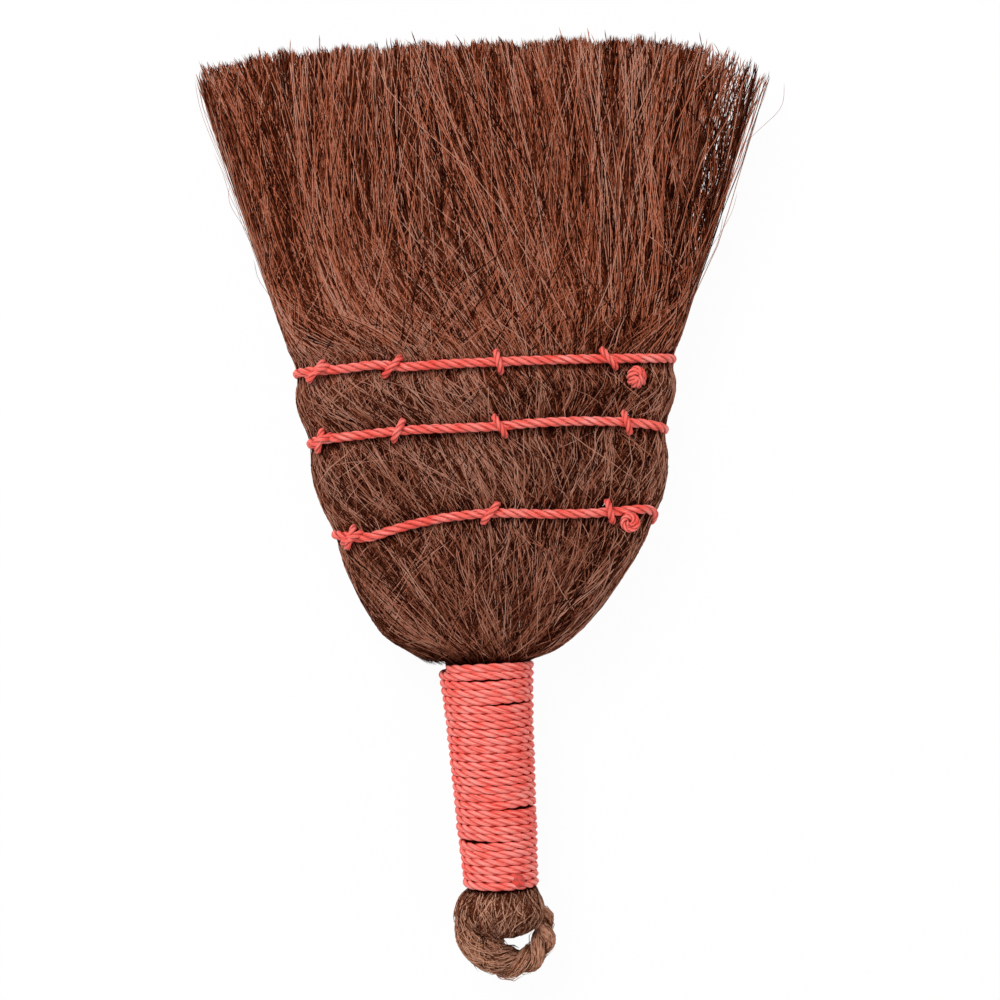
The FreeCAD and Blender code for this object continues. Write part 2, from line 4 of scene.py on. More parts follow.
import bmesh
import bpy
import numpy as np
from bpy.props import FloatProperty, FloatVectorProperty, IntProperty, PointerProperty
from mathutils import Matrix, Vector
from mathutils.bvhtree import BVHTree


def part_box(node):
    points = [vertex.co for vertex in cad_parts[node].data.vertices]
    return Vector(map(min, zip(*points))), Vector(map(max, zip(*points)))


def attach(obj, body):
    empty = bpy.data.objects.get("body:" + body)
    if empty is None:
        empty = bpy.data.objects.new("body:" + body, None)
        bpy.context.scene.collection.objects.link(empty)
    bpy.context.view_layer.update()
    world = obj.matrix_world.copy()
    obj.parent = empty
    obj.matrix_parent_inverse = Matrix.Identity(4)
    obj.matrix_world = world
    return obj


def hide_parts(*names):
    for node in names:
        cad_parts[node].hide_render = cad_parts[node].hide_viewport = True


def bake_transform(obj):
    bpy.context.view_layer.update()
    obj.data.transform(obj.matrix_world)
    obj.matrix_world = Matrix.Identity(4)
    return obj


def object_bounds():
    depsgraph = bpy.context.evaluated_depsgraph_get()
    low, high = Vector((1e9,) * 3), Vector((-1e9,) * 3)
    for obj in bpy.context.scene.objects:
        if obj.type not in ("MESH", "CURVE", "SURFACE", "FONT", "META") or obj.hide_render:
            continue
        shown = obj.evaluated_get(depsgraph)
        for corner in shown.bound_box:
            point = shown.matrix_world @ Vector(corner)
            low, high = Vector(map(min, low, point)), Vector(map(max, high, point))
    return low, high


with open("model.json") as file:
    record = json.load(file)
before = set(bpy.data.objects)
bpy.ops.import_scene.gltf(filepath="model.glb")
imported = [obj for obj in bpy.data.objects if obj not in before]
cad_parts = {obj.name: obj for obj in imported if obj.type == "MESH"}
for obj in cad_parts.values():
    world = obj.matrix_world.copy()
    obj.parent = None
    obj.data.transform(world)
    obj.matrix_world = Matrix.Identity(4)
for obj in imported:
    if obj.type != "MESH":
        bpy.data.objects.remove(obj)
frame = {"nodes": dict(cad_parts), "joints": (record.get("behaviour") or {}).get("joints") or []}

CAD_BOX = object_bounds()

bl_info = {
    "name": "Palm Fibre Hand Broom",
    "version": (1, 0, 0),
    "blender": (4, 5, 0),
    "location": "View3D > Sidebar > Broom",
    "description": "Dresses a hand broom in palm fibre, laid cord and a twisted hanging loop",
    "category": "Object",
}

MM = 0.001
TUFTS = ("left_outer", "left_inner", "centre", "right_inner", "right_outer")
TUFT_EDGE_SHARES = (-0.6, -0.2, 0.2, 0.6)  # of the half width, where one tuft ends and the next begins
ROWS = ("upper", "middle", "lower")
COVERS = ("front_cover", "back_cover")
BUNDLES = tuple(name + "_bundle" for name in TUFTS)
BRISTLES = tuple(name + "_bristles" for name in TUFTS)
STRANDS = ("front_loop_strand", "back_loop_strand")
JOINTS = {joint["name"]: joint for joint in frame["joints"]}
# Lean of the outer fibre to the right, in degrees, at places across and along the broom in millimetres
FLOW_ACROSS = np.array((-84, -71, -58, -45, -33, -20, -7, 5, 18, 31, 43, 56, 69, 82)) * MM
FLOW_ALONG = np.array((-43, -15, 12, 38, 69, 97, 126)) * MM
FLOW_LEANS = np.radians((
    (-42, -42, -42, -42, -42, -40, -38, -32, 15, 42, 45, 45, 45, 45),
    (-41, -41, -41, -41, -41, -40, -38, -34, -20, 30, 42, 43, 43, 43),
    (-36, -36, -36, -36, -35, -43, -44, -43, -36, 20, 42, 44, 44, 44),
    (-33, -33, -33, -34, -42, -44, -43, -40, -38, -15, 30, 33, 33, 33),
    (-31, -31, -31, -22, -27, -31, -38, -39, -31, -13, 13, 19, 26, 30),
    (-28, -27, -13, -11, 1, -24, -35, -26, -8, -3, -5, 11, 27, 30),
    (-33, -27, -7, 3, 5, -22, -23, -12, -13, -12, 5, 14, 15, 30),
))
# Where each row's cord leaves its even line on the front: place across and how far up, in millimetres
ROW_BENDS = {
    "upper": ((-60, 0), (-50, 0), (-42, 0.3), (-35, 1.3), (-27, -0.3), (-14, 0), (60, 0)),
    "middle": ((-60, 0), (-25, 0), (-11, -0.7), (3, -1.0), (19, 0.1), (32, 0.8), (45, 1.0), (57, -0.3)),
    "lower": (
        (-50, 0), (-46, -0.6), (-38, -2.9), (-32, -1.6), (-25, 0), (-12, 1.4), (2, 2.0), (20, 1.1), (32, 1.4),
        (40, 2.2), (46.5, 3.6), (51, 2.4), (57, 0),
    ),
}
# Darker fibre on the front: middle across and along, reach across and along in millimetres, and how much darker
DARK_PATCHES = (
    (44, 36, 13, 4.5, 0.14), (34, 33, 8, 5, 0.08), (44, 0, 12, 5, 0.2), (-8, 24, 20, 3, 0.1), (44, 62, 24, 18, 0.11),
    (-42, 60, 20, 15, -0.14), (-32, 8, 20, 9, 0.06),
)
# Painted shade at the winding and along the rows, and fibre darker low on the head: how much darker, and how far each
# reaches
NECK_PAINTED_SHADE, NECK_REACH = 0.22, 4.0 * MM
LOW_DARK, LOW_REACH = 0.12, 20.0 * MM
ROW_PAINTED_SHADE, ROW_REACH = 0.15, 2.5 * MM
WELD_ROOM = 2e-7             # within which points of a tube's end are merged
CELL_STRETCH = 4             # how many times longer than wide each tube's cell of the baked map is
CELL_EDGE = 0.08             # share of a cell left empty at each side
STRAND_SHARE = 0.262         # of a cord's width, for the radius of each of its three strands
POINTS_PER_LAY = 11
OFF_PATHS = (0.3, 0.5, 0.8)  # a direction in which no path begins
CORD_SIDES = 8
GROOVE_SHARES = (0.55, 0.9)  # of a cord's half width, where its grooves end and its outside begins
SMOOTH_STEPS = (-3, -1.5, 0, 1.5, 3)  # across a row in millimetres, over which its bends are rounded
EDGE_TURN = 4                # how sharply the flow turns over at the broom's edges


def length_setting(name, description, default):
    """A length, given in millimetres."""
    return FloatProperty(name=name, description=description, default=default * MM, unit="LENGTH", precision=5)


def count_setting(name, description, default):
    """A number of fibres."""
    return IntProperty(name=name, description=description, default=default, min=1)


def colour_setting(name, description, *default):
    """A colour, given as red, green and blue."""
    return FloatVectorProperty(name=name, description=description, default=default, subtype="COLOR")


class FibreSettings(bpy.types.PropertyGroup):
    """Sizes and colours of the palm fibre."""

    width: length_setting("Fibre width", "Mean width of one fibre", 0.40)
    bristle_count: count_setting("Bristles", "Number of bristles that fan out through all the tufts", 9000)
    drawn_count: count_setting("Outer bristles", "Bristles that lie on the outside of the front", 3350)
    bristle_root: length_setting("Bristle root", "How far below the upper row the bristles begin", 12)
    tip_ragged: length_setting("Ragged tips", "How far the shorter tips lie below the trimmed edge", 4.6)
    stray_count: count_setting("Strays", "Loose fibres that stand off the sides", 44)
    root_count: count_setting("Root fibres", "Fibres that cross over the bristles' roots on the front", 1700)
    mat_count: count_setting("Mat fibres", "Dark fibres that lie close on the front of the sewn head", 1500)
    net_count: count_setting("Net fibres", "Pale fibres that lie over the mat on the front", 3300)
    hair_count: count_setting("Hairs", "Finest fibres on the front, a few of them at any slant", 420)
    bristle_dark: colour_setting("Bristle shade", "Colour of the deep bristles", 0.020, 0.0026, 0.0010)
    bristle_mid: colour_setting("Bristle colour", "Colour of most bristles", 0.165, 0.031, 0.0100)
    bristle_light: colour_setting("Bristle light", "Colour of the palest bristles", 0.50, 0.155, 0.082)
    mat_dark: colour_setting("Mat shade", "Colour of the deep mat fibres", 0.020, 0.0030, 0.0012)
    mat_mid: colour_setting("Mat colour", "Colour of most mat fibres", 0.145, 0.033, 0.0135)
    mat_light: colour_setting("Mat light", "Colour of the palest mat fibres", 0.42, 0.152, 0.090)
    pale: colour_setting("Pale fibre", "Colour of a few bleached fibres", 0.55, 0.28, 0.20)
    rope_mid: colour_setting("Rope colour", "Colour of the hanging loop's fibre", 0.35, 0.128, 0.064)
    rope_light: colour_setting("Rope light", "Colour of the palest rope fibre", 0.72, 0.38, 0.25)


class CordSettings(bpy.types.PropertyGroup):
    """Sizes and colours of the laid cord of the rows and of the winding."""

    width: length_setting("Cord width", "Outer width of the laid cord", 3.1)
    lay: length_setting("Lay", "Length of cord in which a strand goes once round", 10.8)
    tie_width: length_setting("Tie width", "Outer width of the cord of the ties and knots", 2.25)
    winding_width: length_setting("Winding width", "Outer width of the wound cord", 2.86)
    sink: length_setting("Sink", "How deep the row cords lie in the fibre", 0.15)
    winding_turns: FloatProperty(
        name="Winding turns", description="Turns of cord round the handle", default=27.5, min=3
    )
    # Painted shade deep between the winding's turns
    turn_groove_shade: colour_setting("Winding groove", "Colour deep between the winding's turns", 0.62, 0.042, 0.029)
    colour: colour_setting("Cord colour", "Colour of the cord", 1.0, 0.152, 0.118)
    light: colour_setting("Cord light", "Colour of the cord's palest filaments", 1.0, 0.33, 0.285)
    shade: colour_setting("Cord shade", "Colour of the cord's darker filaments", 0.86, 0.068, 0.048)
    # Painted shade deep between the strands of each cord
    groove_shade: colour_setting("Cord groove", "Colour deep between the strands", 0.19, 0.006, 0.004)


class StageSettings(bpy.types.PropertyGroup):
    """Camera, light and floor."""

    lens: FloatProperty(
        name="Lens", description="Focal length of the camera", default=85.0, subtype="DISTANCE_CAMERA"
    )
    view_width: length_setting("View width", "Width of the picture at the broom", 317.5)
    view_centre: FloatVectorProperty(
        name="View centre", description="Place in the middle of the picture", size=2, default=(5.4 * MM, 2.7 * MM),
        unit="LENGTH",
    )
    key_power: FloatProperty(name="Key light", description="Power of the main lamp", default=17.0, unit="POWER")
    fill_power: FloatProperty(name="Fill light", description="Power of the second lamp", default=4.0, unit="POWER")
    sky: FloatProperty(name="Sky light", description="Strength of the even light all round", default=0.45)


def corners_of(mesh):
    """A mesh's corners, as an array."""
    flat = np.empty(len(mesh.vertices) * 3, np.float32)
    mesh.vertices.foreach_get("co", flat)
    return flat.reshape(-1, 3).astype(float)


def solid_tree(names):
    """Search tree of some solids' faces, for finding their outside."""
    corners, faces = [], []
    for name in names:
        mesh = frame["nodes"][name].data
        first = len(corners)
        corners += [vertex.co.copy() for vertex in mesh.vertices]
        faces += [[first + i for i in face.vertices] for face in mesh.polygons]
    return BVHTree.FromPolygons(corners, faces)


def middle_of_five(grid, axis):
    """Each value replaced by the middle one of five neighbours, which takes out grooves and holes."""
    return np.median(np.stack([np.roll(grid, step, axis) for step in (-2, -1, 0, 1, 2)]), axis=0)


class Skin:
    """Outside of the sewn head and the bristles, as an oval at each place along the broom and how far the true
    outline lies from that oval at each angle round it. Angle 0 is the front, a quarter turn is the right edge."""

    SEWN_STEP = 0.8 * MM
    FREE_STEP = 6.0 * MM
    FLEX_BELOW = 5.0 * MM     # where the sewn head's own outline ends, under the flexing line
    FLEX_ABOVE = 9.0 * MM     # where the bristles' own outline begins, above it
    TIP_BELOW = 16.0 * MM     # last outline below the tips
    TIP_ABOVE = 12.0 * MM     # flare carried on past the tips
    SEAM = 0.6 * MM           # off the seam between the covers
    ASIDE = 5.0 * MM          # between looks at the front, past a tie's hole
    ROW_ROOM = 3.0 * MM       # to each side of a row, where its groove is passed over
    SMOOTHED = 2              # times that what is carried past a row is smoothed
    ANGLES = 120
    TURNS = np.arange(ANGLES) * 2 * np.pi / ANGLES
    FAR = 1.0                 # from the broom, where looks at it start
    # How far the left of the shoulder is drawn in over the winding: places along the broom, and how far, in mm
    DRAWN_IN = ((-49.7, 5.0), (-48.1, 4.3), (-46.5, 3.8), (-45.0, 2.9), (-43.3, 1.6), (-40.0, 0.0))

    def __init__(self):
        flex = JOINTS["bristle_flex"]["pos_m"]
        self.mid_z = flex[2]
        self.neck_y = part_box("handle_winding")[1].y
        self.tip_y = max(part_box(name)[1].y for name in BRISTLES)
        sewn = np.arange(self.neck_y, flex[1] - self.FLEX_BELOW, self.SEWN_STEP)
        free = np.arange(flex[1] + self.FLEX_ABOVE, self.tip_y - self.TIP_BELOW, self.FREE_STEP)
        trees = [(solid_tree(COVERS + BUNDLES), sewn), (solid_tree(BRISTLES), free)]
        ovals, reaches = [], []
        for tree, places in trees:
            found = np.array([self.measured(tree, y) for y in places])
            if places is sewn:
                found = self.past_rows(sewn, found, found[:, :1] + found[:, 1:2] * np.linspace(-1, 1, 5))
            grid = np.array([self.reaches(tree, y, oval) for y, oval in zip(places, found)])
            if places is sewn:
                across = found[:, :1] + found[:, 1:2] * np.sin(self.TURNS)
                columns = [self.past_rows(sewn, grid[:, i:i + 1], across[:, i:i + 1]) for i in range(self.ANGLES)]
                grid = np.concatenate(columns, axis=1)
            ovals.append(found)
            reaches.append(middle_of_five(grid, 1))
        last, before = ovals[1][-1], ovals[1][-2]
        flare = (last - before) / self.FREE_STEP
        beyond = self.tip_y + self.TIP_ABOVE
        self.y = np.concatenate([sewn, free, [beyond]])
        self.ovals = np.concatenate([*ovals, [last + flare * (beyond - free[-1])]])
        drawn = self.drawn_in(self.y)
        self.ovals[:, 0] += drawn / 2
        self.ovals[:, 1] -= drawn / 2
        grid = np.concatenate([*reaches, reaches[1][-1:]])
        self.grid = np.concatenate([grid, grid[:, :1]], axis=1)

    def drawn_in(self, y):
        """How far the left edge is drawn in at places along the broom."""
        along, far = np.transpose(self.DRAWN_IN) * MM
        return np.interp(y, along, far)

    def past_rows(self, y, values, across):
        """Values along the head, carried smoothly past the grooves and holes of the rows."""
        lines = [np.polyval(row_line(row), across) for row in ROWS]
        clear = np.all([np.abs(y[:, None] - line) > self.ROW_ROOM for line in lines], axis=(0, 2))
        carried = np.stack([np.interp(y, y[clear], column[clear]) for column in values.T], axis=-1)
        for _ in range(self.SMOOTHED):
            carried[1:-1] = (carried[:-2] + carried[1:-1] + carried[2:]) / 3
        return carried

    def first_found(self, tree, starts, aim):
        """The foremost place of the outline that is met from some starts, since one may look down a hole."""
        found = [tree.ray_cast(Vector(start), Vector(aim))[0] for start in starts]
        return min((place for place in found if place is not None), key=lambda place: place.dot(Vector(aim)))

    def measured(self, tree, y):
        """Middle, half width and half thickness of the outline at this place."""
        level = self.mid_z + self.SEAM
        left = self.first_found(tree, [(-self.FAR, y, level)], (1, 0, 0)).x
        right = self.first_found(tree, [(self.FAR, y, level)], (-1, 0, 0)).x
        middle = (left + right) / 2
        above = [(middle + step, y, self.FAR) for step in (-self.ASIDE, 0, self.ASIDE)]
        front = self.first_found(tree, above, (0, 0, -1)).z
        return middle, (right - left) / 2, front - self.mid_z

    def reaches(self, tree, y, oval):
        """How far the outline lies from the middle, as a share of the oval's own reach, at each angle."""
        middle, half_width, half_thick = oval
        shares = []
        for angle in self.TURNS:
            out = Vector((half_width * math.sin(angle), 0, half_thick * math.cos(angle)))
            centre = Vector((middle, y, self.mid_z))
            found = tree.ray_cast(centre + out * 2, -out.normalized())[0]
            shares.append(1.0 if found is None else (found - centre).length / out.length)
        return shares

    def oval(self, y):
        """Middle, half width and half thickness at places along the broom."""
        return [np.interp(y, self.y, column) for column in self.ovals.T]

    def reach(self, y, angle):
        """Share of the oval's reach, between the places and angles that were measured."""
        row = np.interp(y, self.y, np.arange(len(self.y)))
        return between(self.grid, row, (angle / (2 * np.pi) % 1.0) * self.ANGLES)

    def places(self, y, angle, lift=0.0, share=1.0):
        """Points on the outside, lifted off it, or at a share of the way out to it."""
        middle, half_width, half_thick = self.oval(y)
        reach = self.reach(y, angle) * share
        sine, cosine = np.sin(angle), np.cos(angle)
        lean = np.hypot(sine / half_width, cosine / half_thick)
        x = middle + reach * half_width * sine + lift * sine / half_width / lean
        z = self.mid_z + reach * half_thick * cosine + lift * cosine / half_thick / lean
        return np.stack([x, y + 0 * x, z], axis=-1)

    def width_per_turn(self, y, angle):
        """Length along the outline for one radian of angle."""
        _, half_width, half_thick = self.oval(y)
        return np.hypot(half_width * np.cos(angle), half_thick * np.sin(angle))


class Handle:
    """Axis and taper of the handle, read from the wound cord's solid."""

    END_SHARE = 1 / 8          # of its length, over which the radius at each end is read

    def __init__(self):
        points = corners_of(frame["nodes"]["handle_winding"].data)
        slope, offset = np.polyfit(points[:, 1], points[:, 0], 1)
        along = np.array([slope, 1.0, 0.0])
        self.along = along / np.linalg.norm(along)
        self.across = np.array([self.along[1], -self.along[0], 0.0])
        self.up = np.array([0.0, 0.0, 1.0])
        mid_z = (points[:, 2].min() + points[:, 2].max()) / 2
        base = np.array([offset, 0.0, mid_z])
        run = (points - base) @ self.along
        self.length = run.max() - run.min()
        self.neck = base + self.along * run.max()
        self.butt = base + self.along * run.min()
        spread = np.hypot((points - base) @ self.across, points[:, 2] - mid_z)
        self.neck_radius = spread[run > run.max() - self.length * self.END_SHARE].max()
        self.butt_radius = spread[run < run.min() + self.length * self.END_SHARE].max()

    def places(self, down, angle, radius):
        """Points round the handle, by distance down from the neck, angle from the right edge and radius."""
        down, angle, radius = np.broadcast_arrays(down, angle, radius)
        axis = self.neck - down[..., None] * self.along
        out = np.cos(angle)[..., None] * self.across + np.sin(angle)[..., None] * self.up
        return axis + radius[..., None] * out

    def radius(self, down):
        """Outer radius of the wound cord at a distance down from the neck."""
        share = down / self.length
        return self.neck_radius + (self.butt_radius - self.neck_radius) * share


def linked(name, data):
    """A new object in the scene."""
    piece = bpy.data.objects.new(name, data)
    bpy.context.collection.objects.link(piece)
    return piece


def new_object(name, mesh, material):
    """A new object of one material."""
    mesh.materials.clear()
    mesh.materials.append(material)
    return linked(name, mesh)


def mesh_of_shell(name, shell):
    """A shell's mesh, with the shell freed."""
    mesh = bpy.data.meshes.new(name)
    shell.to_mesh(mesh)
    shell.free()
    return mesh


def evaluated_mesh(name, piece):
    """An object's mesh, as its bevel or its modifiers make it."""
    depsgraph = bpy.context.evaluated_depsgraph_get()
    mesh = bpy.data.meshes.new_from_object(piece.evaluated_get(depsgraph), depsgraph=depsgraph)
    mesh.name = name
    return mesh


def straight_run(curve, path):
    """Adds a spline of straight runs between points to a curve."""
    spline = curve.splines.new("POLY")
    spline.points.add(len(path) - 1)
    spline.points.foreach_set("co", np.column_stack([path, np.ones(len(path))]).ravel())
    return spline


def tube_mesh(name, paths, radii, sides):
    """Tubes of this many sides along some paths, with a radius at each point but the ends, which are drawn shut."""
    ring = bpy.data.curves.new(name + "_ring", "CURVE")
    curve = bpy.data.curves.new(name, "CURVE")
    ring.dimensions = curve.dimensions = "3D"
    turn = -2 * np.pi * np.arange(sides) / sides
    straight_run(ring, np.column_stack([np.cos(turn), np.sin(turn), 0 * turn])).use_cyclic_u = True
    curve.bevel_mode = "OBJECT"
    curve.bevel_object = linked(name + "_ring", ring)
    for path, radius in zip(paths, radii):
        straight_run(curve, path).points.foreach_set("radius", np.concatenate([[0], radius[1:-1], [0]]))
    holder = linked(name + "_curve", curve)
    mesh = evaluated_mesh(name, holder)
    for used in (curve.bevel_object, holder):
        outline = used.data
        bpy.data.objects.remove(used)
        bpy.data.curves.remove(outline)
    return mesh


def set_values(mesh, name, values):
    """Gives each corner of a mesh a value."""
    mesh.attributes.new(name, "FLOAT", "POINT").data.foreach_set("value", values.astype(np.float32))


def closed_piece(name, mesh, material):
    """A piece of tubes, with the points that end each tube merged."""
    shell = bmesh.new()
    shell.from_mesh(mesh)
    bmesh.ops.remove_doubles(shell, verts=shell.verts, dist=WELD_ROOM)
    shell.to_mesh(mesh)
    shell.free()
    mesh.shade_smooth()
    return new_object(name, mesh, material)


def tube_piece(name, paths, radii, tones, material, sides=3):
    """Tubes of equal point counts as one piece. Each has a tone at each point and its own cell of the baked map."""
    count = len(paths)
    mesh = tube_mesh(name, paths, radii, sides)
    set_values(mesh, "tone", np.repeat(tones.ravel(), sides))
    uv = np.empty(len(mesh.loops) * 2, np.float32)
    mesh.uv_layers[0].uv.foreach_get("vector", uv)
    columns = max(1, round(math.sqrt(count / CELL_STRETCH)))
    rows = -(-count // columns)
    cell = np.arange(count)
    corner = np.stack([cell % columns, cell // columns], axis=-1)[:, None, :]
    baked = (corner + CELL_EDGE + (1 - 2 * CELL_EDGE) * uv.reshape(count, -1, 2)) / np.array([columns, rows])
    mesh.uv_layers.new(name="OFBake", do_init=False).uv.foreach_set("vector", baked.astype(np.float32).ravel())
    return closed_piece(name, mesh, material)


class Shading:
    """Nodes of a material or of the sky, and short ways to add to them."""

    def __init__(self, owner):
        owner.use_nodes = True
        self.owner = owner
        self.nodes, self.links = owner.node_tree.nodes, owner.node_tree.links

    def join(self, node, inputs):
        """Sets a node's inputs to values, or links them to other nodes' outputs."""
        for key, value in inputs.items():
            if isinstance(value, bpy.types.NodeSocket):
                self.links.new(value, node.inputs[key])
            else:
                node.inputs[key].default_value = value

    def add(self, kind, inputs, output=0, **settings):
        """One output of a new node."""
        node = self.nodes.new("ShaderNode" + kind)
        for key, value in settings.items():
            setattr(node, key, value)
        self.join(node, inputs)
        return node.outputs[output]

    def noise(self, scale, detail, place=None):
        """Noise over the object, or over another place."""
        if place is None:
            place = self.add("TexCoord", {}, "Object")
        return self.add("TexNoise", {"Vector": place, "Scale": scale, "Detail": detail}, "Fac")

    def scaled(self, value, scale, added):
        """A value that is multiplied and added to."""
        return self.add("Math", {0: value, 1: scale, 2: added}, operation="MULTIPLY_ADD")

    def ramp(self, factor, *stops):
        """A ramp of colours at these places."""
        node = self.nodes.new("ShaderNodeValToRGB")
        self.join(node, {"Fac": factor})
        elements = node.color_ramp.elements
        while len(elements) < len(stops):
            elements.new(0.5)
        for element, (place, colour) in zip(elements, stops):
            element.position = min(place, 1.0)
            element.color = (*colour, 1.0)
        return node.outputs["Color"]

    def finished(self, colour, roughness, specular, height, strength, distance):
        """The material, with its shader set and a bump of this height."""
        bump = self.add("Bump", {"Height": height, "Strength": strength, "Distance": distance}, "Normal")
        values = {"Base Color": colour, "Roughness": roughness, "Specular IOR Level": specular, "Normal": bump}
        self.join(self.nodes["Principled BSDF"], values)
        return self.owner


def fibre_material(name, dark, mid, light, pale, roughness=0.62):
    """Single palm fibres: each has its own tone, with paler and darker stretches and a dry, ribbed surface."""
    shading = Shading(bpy.data.materials.new(name))
    stretches = shading.noise(420.0, 2.0)
    tone = shading.add("Attribute", {}, "Fac", attribute_name="tone")
    patched = shading.scaled(shading.noise(90.0, 2.0), 0.30, -0.15)
    stretched = shading.scaled(stretches, 0.36, -0.18)
    for varied in (patched, stretched):
        tone = shading.add("Math", {0: tone, 1: varied}, operation="ADD")
    colour = shading.ramp(tone, (0.1, dark), (0.45, mid), (0.78, light), (1.05, pale))
    rough = shading.scaled(stretches, 0.3, roughness - 0.15)
    return shading.finished(colour, rough, 0.02, shading.noise(2600.0, 1.0), 0.25, 0.1 * MM)


def packed_material(name, fibre):
    """Fibre packed deep in the broom: strands of the mat's darker colours that run along it, with near-black gaps of
    painted shade.
    """
    shading = Shading(bpy.data.materials.new(name))
    place = shading.add("TexCoord", {}, "Object")
    drawn = shading.add("Mapping", {"Vector": place, "Scale": (1.0, 0.06, 1.0)}, "Vector")
    strands = shading.noise(900.0, 4.0, drawn)
    # The near-black first colour is painted shade in the gaps
    colour = shading.ramp(strands, (0.42, (0.008, 0.002, 0.001)), (0.58, fibre.mat_dark), (0.8, fibre.mat_mid))
    return shading.finished(colour, 0.85, 0.03, strands, 0.8, 0.6 * MM)


def cord_material(name, cord, run, groove_shade, paler_by):
    """Soft laid cord: fine filaments along each strand, paler on some and darker on others. The run is the
    strand's length, which keeps the filaments' grain at one size."""
    shading = Shading(bpy.data.materials.new(name))
    along = shading.add("UVMap", {}, "UV", uv_map="UVMap")
    grain = shading.add("Mapping", {"Vector": along, "Scale": (run / (9 * MM), 9.0, 1.0)}, "Vector")
    filaments = shading.noise(1.6, 3.0, grain)
    tone = shading.scaled(shading.noise(160.0, 1.0), 0.25, shading.scaled(filaments, 0.75, 0.0))
    # The ramp's stops are moved down by the last argument, which makes the whole cord paler
    thread = shading.ramp(tone, (0.38 - paler_by, cord.shade), (0.49 - paler_by, cord.colour), (0.62 - paler_by, cord.light))
    # The depth attribute mixes in the groove colour: painted shade between the strands and between the winding's
    # turns
    depth = shading.add("Attribute", {}, "Fac", attribute_name="depth")
    mixed = {"Factor": depth, "A": (*groove_shade, 1.0), "B": thread}
    colour = shading.add("Mix", mixed, "Result", data_type="RGBA")
    return shading.finished(colour, 0.55, 0.15, filaments, 0.6, 0.2 * MM)


def melted_material(name, cord):
    """Cord end that was melted: darker, glossier and lumpy."""
    shading = Shading(bpy.data.materials.new(name))
    lumps = shading.noise(900.0, 2.0)
    colour = shading.ramp(lumps, (0.35, (0.36, 0.06, 0.05)), (0.65, cord.shade))
    return shading.finished(colour, 0.5, 0.25, lumps, 0.5, 0.4 * MM)


def packed_core(name, nodes, material, voxel, shrink):
    """The dark mass under the fibres: copies of some solids, made one and drawn in a little."""
    shell = bmesh.new()
    for node in nodes:
        shell.from_mesh(frame["nodes"][node].data)
    bmesh.ops.remove_doubles(shell, verts=shell.verts, dist=0.01 * MM)
    core = new_object(name, mesh_of_shell(name, shell), material)
    modifiers = {
        "REMESH": {"mode": "VOXEL", "voxel_size": voxel},
        "SMOOTH": {"factor": 0.5, "iterations": 6},
        "DISPLACE": {"mid_level": 0.0, "strength": -shrink},
    }
    for kind, settings in modifiers.items():
        modifier = core.modifiers.new(kind.lower(), kind)
        for key, value in settings.items():
            setattr(modifier, key, value)
    solid = evaluated_mesh(name, core)
    solid.materials.clear()
    solid.materials.append(material)
    solid.shade_smooth()
    core.modifiers.clear()
    core.data = solid
    return core


def run_along(path):
    """Distance along a path to each of its points."""
    return np.concatenate([[0], np.cumsum(np.linalg.norm(np.diff(path, axis=0), axis=1))])


def resampled(path, step):
    """The same path with points at even distances, and those distances."""
    run = run_along(path)
    even = np.linspace(0, run[-1], max(4, round(run[-1] / step) + 1))
    return np.stack([np.interp(even, run, column) for column in path.T], axis=-1), even


def rounded(corners, count):
    """A smooth path through some corners in millimetres, at even steps of their run."""
    corners = np.array(corners) * MM
    run = run_along(corners)
    where = np.linspace(0, run[-1], count)
    slopes = np.gradient(corners, run, axis=0)
    i = np.clip(np.searchsorted(run, where, "right") - 1, 0, len(run) - 2)
    gap = (run[i + 1] - run[i])[:, None]
    t = (where - run[i])[:, None] / gap
    start, end = corners[i], corners[i + 1]
    lead, trail = slopes[i] * gap, slopes[i + 1] * gap
    square, cube = t * t, t * t * t
    return (
        (2 * cube - 3 * square + 1) * start + (cube - 2 * square + t) * lead
        + (3 * square - 2 * cube) * end + (cube - square) * trail
    )


def carried_frames(path):
    """Two directions square to a path at each point, carried along it without turning."""
    tangents = np.gradient(path, axis=0)
    tangents /= np.linalg.norm(tangents, axis=1)[:, None]
    side = np.cross(tangents[0], OFF_PATHS)
    first = np.empty_like(path)
    for i, tangent in enumerate(tangents):
        side = side - tangent * (side @ tangent)
        side /= np.linalg.norm(side)
        first[i] = side
    return first, np.cross(tangents, first)


def eased(values, low, high):
    """0 below the low value, 1 above the high one, and a soft rise between."""
    share = np.clip((values - low) / (high - low), 0, 1)
    return share * share * (3 - 2 * share)


def cord_piece(name, paths, cord, width, groove_shade, seed, outside=None, longer=1.0, paler_by=0.0):
    """One or more stretches of cord of three laid strands, as one piece. The depth is 0 in the grooves between
    strands and 1 outside, and less where the outside function gives less. Where it is low, the groove colour is
    mixed in as painted shade."""
    rng = np.random.default_rng(seed)
    lay = cord.lay * longer * width / cord.width
    radius = width * STRAND_SHARE
    strands, middles = [], []
    for path in paths:
        middle, run = resampled(path, lay / POINTS_PER_LAY)
        first, second = carried_frames(middle)
        phase = rng.uniform(0, 6)
        for third in range(3):
            turn = (phase + run / lay * 2 * np.pi + third * 2 * np.pi / 3)[:, None]
            strands.append(middle + (width / 2 - radius) * (first * np.cos(turn) + second * np.sin(turn)))
            middles.append(middle)
    mesh = tube_mesh(name, strands, [np.full(len(line), radius) for line in strands], CORD_SIDES)
    corners = corners_of(mesh)
    centres = np.repeat(np.concatenate(middles), CORD_SIDES, axis=0)
    depth = eased(np.linalg.norm(corners - centres, axis=1) / (width / 2), *GROOVE_SHARES)
    if outside:
        depth = depth * outside(corners)
    set_values(mesh, "depth", depth)
    longest = max(run_along(line)[-1] for line in strands)
    return closed_piece(name, mesh, cord_material(name, cord, longest, groove_shade, paler_by))


